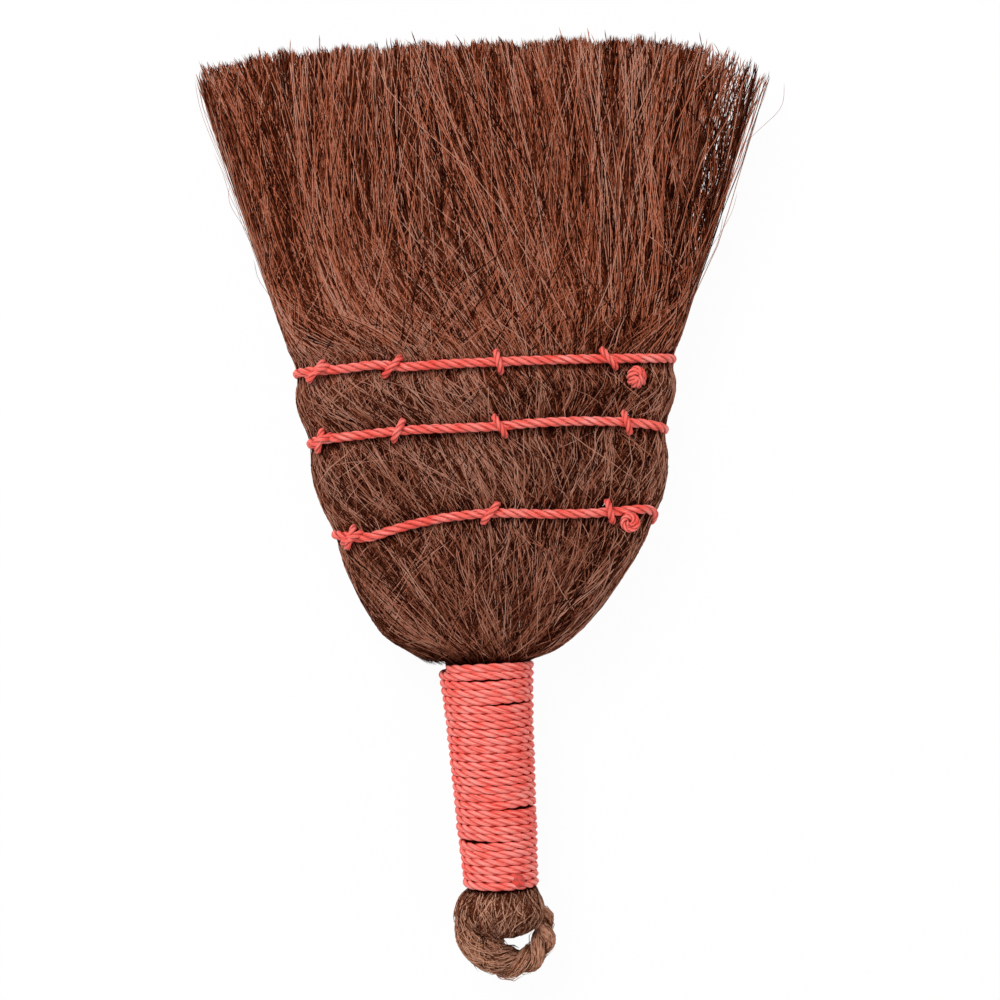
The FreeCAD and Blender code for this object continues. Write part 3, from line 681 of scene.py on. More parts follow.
def joined_parts(mesh):
    """The separate solids of a node, each as an array of its corners."""
    shell = bmesh.new()
    shell.from_mesh(mesh)
    bmesh.ops.remove_doubles(shell, verts=shell.verts, dist=0.001 * MM)
    left = dict.fromkeys(shell.verts)
    parts = []
    while left:
        found = [left.popitem()[0]]
        for vertex in found:
            for link in vertex.link_edges:
                other = link.other_vert(vertex)
                if other in left:
                    del left[other]
                    found.append(other)
        parts.append(np.array([vertex.co for vertex in found]))
    shell.free()
    return sorted(parts, key=lambda part: part[:, 0].mean())


def row_line(row):
    """A row cord's distance along the broom, as a curve over the place across it."""
    points = corners_of(frame["nodes"][row + "_row_cord"].data)
    return np.polyfit(points[:, 0], points[:, 1], 4)


def row_place(row, x, front):
    """A row's distance along the broom at places across it, with its bends on the front."""
    across, up = np.transpose(ROW_BENDS[row]) * MM
    bends = sum(np.interp(x + step * MM, across, up) for step in SMOOTH_STEPS) / len(SMOOTH_STEPS)
    return np.polyval(row_line(row), x) + np.where(front, bends, 0)


def between(grid, row, column):
    """Values of a grid between its rows and columns."""
    i = np.clip(row.astype(int), 0, grid.shape[0] - 2)
    j = np.clip(column.astype(int), 0, grid.shape[1] - 2)
    up, on = row - i, column - j
    low = grid[i, j] * (1 - on) + grid[i, j + 1] * on
    high = grid[i + 1, j] * (1 - on) + grid[i + 1, j + 1] * on
    return low * (1 - up) + high * up


def flow(y, angle, aside):
    """Lean of the outer fibre at each place, taken a little aside, towards a growing angle round the broom."""
    middle, half_width, _ = SKIN.oval(y)
    x = middle + half_width * np.sin(angle) + aside
    row = np.interp(y, FLOW_ALONG, np.arange(len(FLOW_ALONG)))
    column = np.interp(x, FLOW_ACROSS, np.arange(len(FLOW_ACROSS)))
    return between(FLOW_LEANS, row, column) * np.tanh(EDGE_TURN * np.cos(angle))


def off_rows(paths):
    """How far each point lies from the nearest row, along the broom."""
    front = paths[..., 2] > SKIN.mid_z
    return np.min([np.abs(paths[..., 1] - row_place(row, paths[..., 0], front)) for row in ROWS], axis=0)


def shade(paths):
    """How much darker the fibre is at each point: painted shade near the winding and the rows, and darker low on the
    head and in patches on the front.
    """
    x, y, z = np.moveaxis(paths, -1, 0)
    # Painted shade where the fibre meets the winding
    dark = NECK_PAINTED_SHADE * np.exp(-np.maximum(y - SKIN.neck_y, 0) / NECK_REACH)
    # Darker low on the head, and painted shade along the rows
    dark += LOW_DARK * eased(-y, 0, LOW_REACH) + ROW_PAINTED_SHADE * np.exp(-((off_rows(paths) / ROW_REACH) ** 2))
    for across, along, wide, high, much in DARK_PATCHES:
        apart = ((x / MM - across) / wide) ** 2 + ((y / MM - along) / high) ** 2
        dark += np.where(z > SKIN.mid_z, much * np.exp(-apart), 0)
    return dark


def two_tones(rng, count, dark_share, dark, light):
    """A tone for each fibre, in one range for the dark share of them and in another for the rest."""
    return np.where(rng.random(count) < dark_share, rng.uniform(*dark, count), rng.uniform(*light, count))


def at_points(values, points):
    """One value for each fibre, repeated at its points."""
    return np.repeat(values[:, None], points, 1)


class Layer:
    """Fibres of one kind: how far they stray from the flow in degrees, share that crosses it, share at any slant,
    lengths, curl in radians per metre, lifts and widths in millimetres, and tones."""

    POINTS = 11
    FACE = 0.55 * np.pi        # how far round the edge a face's fibres begin
    FACE_STEPS = 200
    WILD_SLANT = 1.3
    FOLLOW_SHARES = (0.8, 1.05)  # of the flow's own lean
    CROSS_SHARES = (0.4, 1.2)  # of it, to the other side
    SCATTER = 9.0 * MM         # across the broom, by which a fibre's lean is taken aside of its start
    STRAIGHTEN = 4.0           # per metre, share of its lean that a fibre loses
    SHORTEST = 4.0 * MM
    LEAST_COSINE = 0.3         # of its lean, which keeps a slanting fibre from growing too long
    PROBE = 0.4 * MM           # along the broom, for finding how steep the skin is
    PINCH = 0.9 * MM           # how deep a row presses the fibre in
    PINCH_REACH = 4.5 * MM
    WAVER = 0.25               # share of its lift by which a fibre rises and falls
    WAVER_STEP = 1.1           # radians of that from one point to the next
    WAVE = 0.13                # radians by which a fibre's lean changes at each point
    WAVE_KEPT = 0.7            # share of that change that the next point keeps
    DARK_SHARE = 0.45
    DARK_RANGE = 0.3           # of tones, from the darkest
    LIGHT_RANGE = 0.4          # of tones, up to the palest
    DEPTH_PAINTED_SHADE = 0.35           # painted shade: how much paler the highest fibres are than the lowest
    CROSS_DARK = 0.2           # how much darker crossing fibres are
    ROOM = 1.2 * MM            # off the skin or below the neck, past which a fibre is left out

    def __init__(self, stray, crossing, wild, lengths, curl, lifts, widths, tones):
        self.stray, self.crossing, self.wild, self.lengths = stray, crossing, wild, lengths
        self.curl, self.lifts, self.widths, self.tones = curl, lifts, widths, tones

    def angles(self, rng, count, y, front):
        """Even angles over one face."""
        turns = np.linspace(-self.FACE, self.FACE, self.FACE_STEPS)
        run = np.concatenate([[0], np.cumsum(SKIN.width_per_turn(y, turns))])[:-1]
        angle = np.interp(rng.random(count) * run[-1], run, turns)
        return angle if front else angle + np.pi

    def fibres(self, rng, y, front, top):
        """Paths, radii and tones of fibres that start at these places along the broom."""
        count = len(y)
        angle = self.angles(rng, count, np.mean(y), front)
        lean = flow(y, angle, rng.normal(0, self.SCATTER, count))
        crossing = rng.random(count) < self.crossing
        across = -rng.uniform(*self.CROSS_SHARES, count)
        lean *= np.where(crossing, across, rng.uniform(*self.FOLLOW_SHARES, count))
        lean += np.radians(rng.normal(0, self.stray, count))
        wild = rng.random(count) < self.wild
        lean = np.where(wild, rng.uniform(-self.WILD_SLANT, self.WILD_SLANT, count), lean)
        room = np.maximum(top - y, self.SHORTEST) / np.maximum(np.cos(lean), self.LEAST_COSINE)
        length = np.minimum(rng.uniform(*self.lengths, count) * MM, room)
        curl = rng.normal(0, self.curl, count) - self.STRAIGHTEN * lean
        height = rng.random(count)
        lift = np.interp(height, (0, 1), self.lifts) * MM
        paths = self.laid(rng, y, angle, length, lean, curl, lift)
        radii = at_points(rng.uniform(*self.widths, count) * MM / 2, self.POINTS)
        low, high = self.tones
        dark, light = (low, low + self.DARK_RANGE), (high - self.LIGHT_RANGE, high)
        tones = two_tones(rng, count, self.DARK_SHARE, dark, light)
        # Painted shade: lower fibres darker than higher ones; crossing fibres darker; then shade()'s darkening taken
        # off
        tones = (tones + self.DEPTH_PAINTED_SHADE * (height - 0.5) - self.CROSS_DARK * crossing)[:, None] - shade(paths)
        kept = self.on_skin(paths) & (paths[..., 1].min(1) > SKIN.neck_y - self.ROOM)
        return paths[kept], radii[kept], tones[kept]

    def laid(self, rng, y, angle, length, lean, curl, lift):
        """Paths over the broom: each starts at a place and angle with its own lean, waves and curls a little."""
        turn = lean
        step = length / (self.POINTS - 1)
        paths = np.empty((len(y), self.POINTS, 3))
        waver = rng.uniform(0, 2 * np.pi, len(y))
        waves = np.zeros(len(y))
        for i in range(self.POINTS):
            flat = SKIN.places(y, angle)
            near = np.exp(-((off_rows(flat) / self.PINCH_REACH) ** 2))
            rise = 1 - self.WAVER + self.WAVER * np.sin(waver + i * self.WAVER_STEP)
            paths[:, i] = SKIN.places(y, angle, lift * (1 - near) * rise - self.PINCH * near)
            steep = np.linalg.norm(SKIN.places(y + self.PROBE, angle) - flat, axis=-1) / self.PROBE
            angle = angle + step * np.sin(turn) / SKIN.width_per_turn(y, angle)
            y = y + step * np.cos(turn) / steep
            waves = self.WAVE_KEPT * waves + rng.normal(0, self.WAVE, len(y))
            turn = lean + curl * step * (i + 1) + waves
        return paths

    def on_skin(self, paths):
        """Which paths stay close to the head and the bristles all along, also between their points."""
        middles = (paths[:, :-1] + paths[:, 1:]) / 2
        centre, half_width, half_thick = SKIN.oval(middles[..., 1])
        across = middles[..., 0] - centre
        up = middles[..., 2] - SKIN.mid_z
        skin = SKIN.places(middles[..., 1], np.arctan2(across / half_width, up / half_thick))
        out = np.hypot(across, up) - np.hypot(skin[..., 0] - centre, skin[..., 2] - SKIN.mid_z)
        return out.max(1) < self.ROOM


SKIN = Skin()
HANDLE = Handle()


def bend_with_bristles(piece):
    """Bakes the piece's placement into its mesh."""
    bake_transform(piece)


class BROOM_OT_packed_cores(bpy.types.Operator):
    """Packed fibre inside the sewn head and inside the bristles"""

    bl_idname = "broom.packed_cores"
    bl_label = "Packed Cores"
    # Size of the steps that each core is made of, and how far it is drawn in
    HEAD_STEP, HEAD_SHRINK = 1.1 * MM, 1.2 * MM
    FREE_STEP, FREE_SHRINK = 1.6 * MM, 1.8 * MM
    CORNER_SHARES = (0.14, 0.27)  # by which the bristles' core is narrower at the left and the right
    CORNER_RISE = 0.45         # share of the bristles' length over which it narrows
    LOOSE_TIPS = 24.0 * MM     # above the core's end

    def execute(self, context):
        material = packed_material("packed_fibre", context.scene.broom_fibre)
        head = packed_core("head_core", COVERS + BUNDLES, material, self.HEAD_STEP, self.HEAD_SHRINK)
        for vertex in head.data.vertices:
            middle, half_width, _ = SKIN.oval(vertex.co.y)
            vertex.co.x += SKIN.drawn_in(vertex.co.y) * max(0, (middle - vertex.co.x) / half_width)
        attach(head, "sewn_head")
        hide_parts(*BUNDLES)
        free = packed_core("bristle_core", BRISTLES, material, self.FREE_STEP, self.FREE_SHRINK)
        self.trim(free)
        bend_with_bristles(free)
        return {"FINISHED"}

    def trim(self, core):
        """Cuts the core off below the tips, which are loose, and draws it in from the corners."""
        shell = bmesh.new()
        shell.from_mesh(core.data)
        foot = min(vertex.co.y for vertex in shell.verts)
        for vertex in shell.verts:
            rise = min(1, max(0, vertex.co.y - foot) / (self.CORNER_RISE * (SKIN.tip_y - foot)))
            vertex.co.x *= 1 - self.CORNER_SHARES[vertex.co.x > 0] * rise
        geometry = shell.verts[:] + shell.edges[:] + shell.faces[:]
        level = Vector((0, SKIN.tip_y - self.LOOSE_TIPS, 0))
        cut = bmesh.ops.bisect_plane(shell, geom=geometry, plane_co=level, plane_no=(0, 1, 0), clear_outer=True)
        rim = [edge for edge in cut["geom_cut"] if isinstance(edge, bmesh.types.BMEdge)]
        bmesh.ops.holes_fill(shell, edges=rim)
        bmesh.ops.recalc_face_normals(shell, faces=shell.faces)
        shell.to_mesh(core.data)
        shell.free()


class BROOM_OT_sewn_mat(bpy.types.Operator):
    """Fibre mat over the two faces of the sewn head"""

    bl_idname = "broom.sewn_mat"
    bl_label = "Sewn Mat"
    NECK_SHARE = 0.3           # of the fibres that come up from under the winding
    NECK_STARTS = (-1, 4)      # where those begin above the winding, in millimetres
    BACK_SHARE = 0.6           # of the front's fibres that the back has
    PAST_ROW = 3.0 * MM        # above the upper row, where the mat ends
    LAST_START = 1.0 * MM      # above it, where the last fibres begin
    STEPS = 200
    LAYERS = {
        "mat": Layer(6, 0.12, 0.0, (40, 85), 2.0, (0.0, 0.3), (0.34, 0.5), (-0.1, 0.45)),
        "net": Layer(7, 0.16, 0.0, (40, 90), 4.0, (0.15, 0.8), (0.22, 0.36), (0.0, 1.02)),
        "hairs": Layer(10, 0.2, 0.03, (22, 50), 10.0, (0.5, 0.85), (0.18, 0.26), (0.4, 1.02)),
    }

    def execute(self, context):
        fibre = context.scene.broom_fibre
        material = fibre_material("mat_fibre", fibre.mat_dark, fibre.mat_mid, fibre.mat_light, fibre.pale)
        rng = np.random.default_rng(21)
        counts = {"mat": fibre.mat_count, "net": fibre.net_count, "hairs": fibre.hair_count}
        row_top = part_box("upper_row_cord")[1].y
        for cover, front in zip(COVERS, (True, False)):
            for name, count in counts.items():
                starts = self.starts(rng, round(count * (1 if front else self.BACK_SHARE)), row_top)
                fibres = self.LAYERS[name].fibres(rng, starts, front, row_top + self.PAST_ROW)
                piece = tube_piece(f"{cover}_{name}", *fibres, material)
                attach(piece, "sewn_head")
                if name == "mat":
                    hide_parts(cover)
        return {"FINISHED"}

    def starts(self, rng, count, row_top):
        """Even places along the head, from the neck to the upper row, with more along the neck."""
        table = np.linspace(SKIN.neck_y, row_top + self.LAST_START, self.STEPS)
        run = np.concatenate([[0], np.cumsum(SKIN.oval(table)[1])])[:-1]
        y = np.interp(rng.random(count) * run[-1], run, table)
        neck = rng.random(count) < self.NECK_SHARE
        return np.where(neck, SKIN.neck_y + rng.uniform(*self.NECK_STARTS, count) * MM, y)


class BROOM_OT_bristles(bpy.types.Operator):
    """Free bristles in five tufts, with ragged tips, crossings and a few strays"""

    bl_idname = "broom.bristles"
    bl_label = "Bristles"
    POINTS = 11
    LAST_BUT_ONE = 0.985       # share of a bristle's length where its last full point is
    CROWDED = 1.25             # how much closer its points lie near the root
    ROOT_SHARES = (0.1, 1.0)   # of the depth under the upper row, where bristles begin
    SHELL_SHARE = 0.62         # of the bristles that lie near the outside
    SHELL = 0.84               # share of the way out where the outside begins
    CLUMP_SIZE = 22            # bristles that lean together
    CLUMP_DRAWN = (0.3, 0.85)  # share of the way that tips are drawn to the middle of their clump
    CLUMP_STEP = 0.7 * MM      # by which whole clumps are longer or shorter
    # How far tips drift from their roots as shares of the half width and half thickness, and how often
    DRIFT_SHARES = (0.04, 0.12, 0.24, 0.5)
    DRIFT_CHANCES = (0.3, 0.38, 0.25, 0.07)
    DRIFT_AXES = (1.0, 0.6)
    CROSSING_DRIFT = 0.4       # past which a bristle lies outside all others
    EDGE, EDGE_FLARE = 0.85, 1.015  # share of the half width past which tips flare, and by how much
    # Half waves along a bristle, and how far they bow it as a share of the half width
    WAVES = ((1, 0.035), (2, 0.018), (3.7, 0.008), (6.3, 0.005))
    WAVE_AXES = (1.0, 2.0)
    # Share of the half width at the tip, and the share of the bristles that grow there
    FULLNESS = (
        (-1.0, 0.08), (-0.95, 0.3), (-0.87, 1.0), (0.66, 1.0), (0.76, 0.28), (0.86, 0.12), (0.93, 0.07), (1.0, 0.025),
    )
    LOOSE_FROM, LOOSE = 0.84, 0.06  # share of the half width past which the right side spreads out, and how far
    UNEVEN = 0.014             # share of its distance out by which a bristle differs
    PACKED = 0.15              # share of its depth that a bristle keeps at the upper row
    PACKED_LENGTH = 38.0 * MM  # above that row, over which the bristles loosen
    # How deep bristles lie at the upper row, and how far above it they come out
    TUFT_SUNK, TUFT_RISE = 1.7 * MM, 11.0 * MM
    DRAWN_SUNK, DRAWN_RISE = 1.4 * MM, 8.0 * MM
    PAINTED_SHADE_OUT = 0.93            # share of the way out past which bristles are paler; further in they take painted shade
    # Trimmed edge: share of the half width, and how far below the crown of the tips in millimetres
    TIP_EDGE = (
        (-1.0, 13.0), (-0.64, 6.6), (-0.29, 5.0), (0.06, 4.1), (0.41, 2.8), (0.58, 2.8), (0.75, 5.0), (0.89, 9.1),
        (1.0, 14.5),
    )
    # Uneven edge: radians per millimetre across, millimetres, and where each begins
    EDGE_WAVES = ((0.28, 0.5, 0.4), (0.75, 0.5, 2.0), (1.6, 0.45, 4.4), (3.1, 0.35, 1.1))
    RAGGED = 0.45              # mean share of the ragged length that a tip is short
    THIN_FROM, THIN_RAGGED = -0.85, 3.6  # past which the left corner is more ragged, and how much more
    LONG_SHARE = 0.006         # of the bristles that stand above the trimmed edge
    LONG = (1, 4)              # by how far, in millimetres
    WIDTHS = (0.6, 1.15)       # shares of the fibre width
    TONES = (0.45, (0.0, 0.35), (0.45, 1.0))  # share of dark bristles, their tones and those of the rest
    TIP_PALE, TIP_LENGTH = 0.15, 30.0 * MM  # how much paler tips are, and over what length
    SHADE_SHARE = 0.5          # of the mat's darkening, partly painted shade
    # Outer bristles: steps on their way down, how far they follow the flow, and share and range of those that don't
    STEPS = 33
    FOLLOW = (0.6, 1.1)
    ASTRAY, ASTRAY_FOLLOW = 0.16, (-1, 0.2)
    STRAY_DEG, BOW_DEG, BOW_STEP = 6, 7, 0.35  # degrees that they stray and bow, and how fast the bow changes
    SCATTER = 5                # across, in millimetres
    WIDEST, LIMIT = 0.99, 0.985  # shares of the half width that they begin within and keep within
    LIFTS, LIFT_RISE = (-0.9, 0.5), 14.0 * MM  # off the skin, in millimetres, and where they reach it above the row
    BLOCK = 2000               # tips whose clumps are found at once
    OUTLINE_STEPS = 721
    # Strays: how far below the tips they begin, their lengths, and how far below the tips they end, in millimetres
    STRAY_FEET, STRAY_LENGTHS, STRAY_TOP = (30, 100), (18, 60), 14
    STRAY_ANGLES = (0.36, 0.6)  # from the front, in half turns
    STRAY_FAR = 2.2            # mean distance that they bow out, in millimetres
    STRAY_WAVE, STRAY_SUNK = 0.4 * MM, 0.8 * MM
    STRAY_RADIUS = 0.2         # share of the fibre width
    STRAY_TONES = (0.5, 1.0)
    ROOTS = Layer(9, 0.3, 0.0, (26, 62), 4.0, (0.1, 0.7), (0.24, 0.38), (0.0, 1.0))
    ROOT_STARTS = (-10, 12)    # of those fibres above the upper row, in millimetres

    def execute(self, context):
        fibre = context.scene.broom_fibre
        rng = np.random.default_rng(7)
        self.row_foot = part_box("upper_row_cord")[0].y
        colours = (fibre.bristle_dark, fibre.bristle_mid, fibre.bristle_light, fibre.pale)
        material = fibre_material("bristle_fibre", *colours, 0.55)
        *groups, across = self.tuft_paths(rng, fibre)
        extras = [self.stray_paths(rng, fibre)]
        for share, front in ((1, True), (BROOM_OT_sewn_mat.BACK_SHARE, False)):
            extras.append(self.root_paths(rng, round(fibre.root_count * share), front))
            extras.append(self.drawn_paths(rng, fibre, round(fibre.drawn_count * share), front))
        for extra in extras:
            halfway = extra[0][:, self.POINTS // 2]
            middle, half_width, _ = SKIN.oval(halfway[:, 1])
            across = np.concatenate([across, (halfway[:, 0] - middle) / half_width])
            groups = [np.concatenate(pair) for pair in zip(groups, extra)]
        tuft = np.digitize(across, TUFT_EDGE_SHARES)
        for i, name in enumerate(TUFTS):
            piece = tube_piece(name + "_fibres", *[group[tuft == i] for group in groups], material)
            bend_with_bristles(piece)
            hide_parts(name + "_bristles")
        return {"FINISHED"}

    def roots(self, rng, fibre, count):
        """Where bristles begin along the broom, under the upper row."""
        return self.row_foot - fibre.bristle_root * rng.uniform(*self.ROOT_SHARES, count)

    def sunk(self, above, depth, rise):
        """How deep bristles lie at a distance above the upper row."""
        return -depth * np.where(above < 0, 1, np.exp(-((above / rise) ** 2)))

    def tuft_paths(self, rng, fibre):
        """Paths, radii and tones of all the bristles, and where across the broom each one is rooted."""
        count = fibre.bristle_count
        shell = rng.random(count) < self.SHELL_SHARE
        angle = self.even_angles(rng, count)
        out = np.where(shell, rng.uniform(self.SHELL, 1.0, count), np.sqrt(rng.random(count)) * self.SHELL)
        root = np.stack([out * np.sin(angle), out * np.cos(angle)], axis=-1)
        spread = rng.choice(self.DRIFT_SHARES, count, p=self.DRIFT_CHANCES)
        drift = rng.normal(0, 1, (count, 2)) * spread[:, None] * self.DRIFT_AXES
        root = np.where((spread > self.CROSSING_DRIFT)[:, None], root / out[:, None], root)
        tip, clump = self.gathered(rng, root + drift)
        flare = np.where(np.abs(tip[:, :1]) > self.EDGE, self.EDGE_FLARE, 1)
        tip = tip / np.maximum(np.hypot(*tip.T), 1.0)[:, None] * flare
        low = self.roots(rng, fibre, count)
        high = self.tip_heights(rng, fibre, tip[:, 0])
        high = high + self.CLUMP_STEP * rng.normal(0, 1, clump.max() + 1)[clump]
        t = np.append(np.linspace(0, self.LAST_BUT_ONE, self.POINTS - 1) ** self.CROWDED, 1.0)[None, :]
        place = root[:, None, :] * (1 - t[..., None]) + tip[:, None, :] * t[..., None]
        for waves, size in self.WAVES:
            phase = rng.uniform(0, np.pi, count)[:, None] * (waves > 1)
            wave = np.sin(np.pi * waves * t + phase) - (1 - t) * np.sin(phase)
            place += rng.normal(0, size, (count, 2))[:, None, :] * self.WAVE_AXES * wave[..., None]
        y = low[:, None] * (1 - t) + high[:, None] * t
        angles = np.arctan2(place[..., 0], place[..., 1])
        loose = np.where(tip[:, 0] > self.LOOSE_FROM, rng.uniform(0, self.LOOSE, count), 0)
        room = 1.0 + rng.normal(0, self.UNEVEN, count) + loose
        share = np.minimum(np.hypot(place[..., 0], place[..., 1]) * (1 + loose[:, None] * t), room[:, None])
        above = y - row_place("upper", SKIN.places(y, angles, 0.0, share)[..., 0], np.cos(angles) > 0)
        packed = self.PACKED + (1 - self.PACKED) * eased(above, 0, self.PACKED_LENGTH)
        share = np.where(shell[:, None], 1 - (1 - share) * packed, share)
        paths = SKIN.places(y, angles, self.sunk(above, self.TUFT_SUNK, self.TUFT_RISE), share)
        radii, tones = self.looks(rng, fibre, paths)
        # Painted shade: bristles darker the deeper they lie in the tuft
        tones += (out - self.PAINTED_SHADE_OUT)[:, None]
        kept = rng.random(count) < np.interp(tip[:, 0], *np.transpose(self.FULLNESS))
        return [part[kept] for part in (paths, radii, tones, root[:, 0])]

    def tip_heights(self, rng, fibre, across):
        """Where bristles end along the broom, by their tips' share of the half width."""
        count = len(across)
        ragged = rng.gamma(1.0, self.RAGGED, count) * np.where(across < self.THIN_FROM, self.THIN_RAGGED, 1.0)
        long = np.where(rng.random(count) < self.LONG_SHARE, rng.uniform(*self.LONG, count), 0) * MM
        x = across * SKIN.oval(SKIN.tip_y)[1] / MM
        uneven = sum(size * np.sin(turns * x + start) for turns, size, start in self.EDGE_WAVES) * MM
        edge = SKIN.tip_y - np.interp(across, *np.transpose(self.TIP_EDGE)) * MM + uneven
        return edge - fibre.tip_ragged * ragged + long

    def looks(self, rng, fibre, paths):
        """Radii and tones of bristles: about half are dark, all are paler at the tips, and they take part of the
        mat's darkening, which is partly painted shade.
        """
        count = len(paths)
        radii = at_points(fibre.width * rng.uniform(*self.WIDTHS, count) / 2, self.POINTS)
        tones = two_tones(rng, count, *self.TONES)
        pale = self.TIP_PALE * eased(paths[..., 1], SKIN.tip_y - self.TIP_LENGTH, SKIN.tip_y)
        return radii, tones[:, None] + pale - self.SHADE_SHARE * shade(paths)

    def drawn_paths(self, rng, fibre, count, front):
        """Bristles on the outside, that follow the flow down from the trimmed edge to under the upper row."""
        across = rng.uniform(-self.WIDEST, self.WIDEST, count)
        across = across[rng.random(count) < np.interp(across, *np.transpose(self.FULLNESS))]
        count = len(across)
        high = self.tip_heights(rng, fibre, across)
        step = (high - self.roots(rng, fibre, count)) / (self.STEPS - 1)
        follow = rng.uniform(*self.FOLLOW, count)
        follow *= np.where(rng.random(count) < self.ASTRAY, rng.uniform(*self.ASTRAY_FOLLOW, count), 1)
        stray = np.radians(rng.normal(0, self.STRAY_DEG, count))
        aside = rng.normal(0, self.SCATTER, count) * MM
        bow, phase = np.radians(rng.normal(0, self.BOW_DEG, count)), rng.uniform(0, 2 * np.pi, count)
        ways = np.empty((count, self.STEPS, 2))
        for i in range(self.STEPS):
            y = high - i * step
            ways[:, self.STEPS - 1 - i] = np.stack([across, y], axis=-1)
            middle, half_width, _ = SKIN.oval(y)
            lean = follow * flow(y, np.arcsin(across), aside) + stray + bow * np.sin(phase + i * self.BOW_STEP)
            below, below_half, _ = SKIN.oval(y - step)
            x = middle + half_width * across - step * np.tan(lean)
            across = np.clip((x - below) / below_half, -self.LIMIT, self.LIMIT)
        t = np.append(np.linspace(0, self.LAST_BUT_ONE, self.POINTS - 1), 1.0) * (self.STEPS - 1)
        i = np.minimum(t.astype(int), self.STEPS - 2)
        on = (t - i)[None, :, None]
        across, y = np.moveaxis(ways[:, i] * (1 - on) + ways[:, i + 1] * on, -1, 0)
        turn = np.arcsin(across) if front else np.pi - np.arcsin(across)
        above = y - row_place("upper", SKIN.places(y, turn)[..., 0], front)
        lift = rng.uniform(*self.LIFTS, count)[:, None] * MM * eased(np.abs(above), 0, self.LIFT_RISE)
        paths = SKIN.places(y, turn, lift + self.sunk(above, self.DRAWN_SUNK, self.DRAWN_RISE))
        return paths, *self.looks(rng, fibre, paths)

    def root_paths(self, rng, count, front):
        """Fibres that come up from under the upper row and cross over the bristles' roots."""
        starts = self.row_foot + rng.uniform(*self.ROOT_STARTS, count) * MM
        return self.ROOTS.fibres(rng, starts, front, SKIN.tip_y)

    def even_angles(self, rng, count):
        """Angles round the oval that lie evenly along its outline."""
        table = np.linspace(0, 2 * np.pi, self.OUTLINE_STEPS)
        y = SKIN.tip_y - SKIN.TIP_BELOW
        run = np.concatenate([[0], np.cumsum(SKIN.width_per_turn(y, table[:-1]))])
        return np.interp(rng.random(count) * run[-1], run, table)

    def gathered(self, rng, tip):
        """Tips drawn part of the way to the middle of their clump."""
        _, half_width, half_thick = SKIN.oval(SKIN.tip_y)
        size = np.array([half_width, half_thick])
        count = len(tip) // self.CLUMP_SIZE
        centres = tip[rng.choice(len(tip), count, replace=False)]
        drawn = rng.uniform(*self.CLUMP_DRAWN, count)
        nearest = np.empty(len(tip), int)
        for first in range(0, len(tip), self.BLOCK):
            block = tip[first:first + self.BLOCK]
            apart = ((block[:, None, :] - centres[None]) * size) ** 2
            nearest[first:first + self.BLOCK] = apart.sum(2).argmin(1)
        return tip + (centres[nearest] - tip) * drawn[nearest][:, None], nearest

    def stray_paths(self, rng, fibre):
        """Loose fibres that bow out from the two sides."""
        count = fibre.stray_count
        side = rng.choice((-1, 1), count)
        low = SKIN.tip_y - rng.uniform(*self.STRAY_FEET, count) * MM
        high = np.minimum(low + rng.uniform(*self.STRAY_LENGTHS, count) * MM, SKIN.tip_y - self.STRAY_TOP * MM)
        t = np.linspace(0, 1, self.POINTS)[None, :]
        y = low[:, None] * (1 - t) + high[:, None] * t
        angle = (side * rng.uniform(*self.STRAY_ANGLES, count) * np.pi)[:, None] + 0 * t
        far = rng.gamma(1.0, self.STRAY_FAR, count)[:, None] * MM
        bow = far * np.sin(np.pi * t * rng.uniform(0.5, 1, count)[:, None])
        waves = t * rng.uniform(2, 4, count)[:, None] + rng.random(count)[:, None]
        bow += self.STRAY_WAVE * np.sin(np.pi * waves)
        paths = SKIN.places(y, angle, bow - self.STRAY_SUNK)
        width = np.full((count, self.POINTS), fibre.width * self.STRAY_RADIUS)
        return paths, width, at_points(rng.uniform(*self.STRAY_TONES, count), self.POINTS)


class BROOM_OT_row_cords(bpy.types.Operator):
    """Three rows of laid cord round the sewn head"""

    bl_idname = "broom.row_cords"
    bl_label = "Row Cords"
    POINTS = 360
    EDGE_SINK = 1.9 * MM       # how much deeper a row lies where it goes round the head's edges
    EDGE_POWER = 8             # how close to the edges it goes deeper

    def execute(self, context):
        cord = context.scene.broom_cord
        for i, row in enumerate(ROWS):
            path = self.path(row, cord)
            piece = cord_piece(row + "_row_laid_cord", [path], cord, cord.width, cord.groove_shade, 31 + i)
            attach(piece, "sewn_head")
            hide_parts(row + "_row_cord")
        return {"FINISHED"}

    def path(self, row, cord):
        """Once round the head along the row's own line, pressed into the fibre."""
        line = row_line(row)
        angle = np.linspace(np.pi, 3 * np.pi, self.POINTS)
        middle, half_width, _ = SKIN.oval(np.full(self.POINTS, line[-1]))
        y = row_place(row, middle + half_width * np.sin(angle), np.cos(angle) > 0)
        return SKIN.places(y, angle, cord.width / 2 - cord.sink - self.EDGE_SINK * np.sin(angle) ** self.EDGE_POWER)


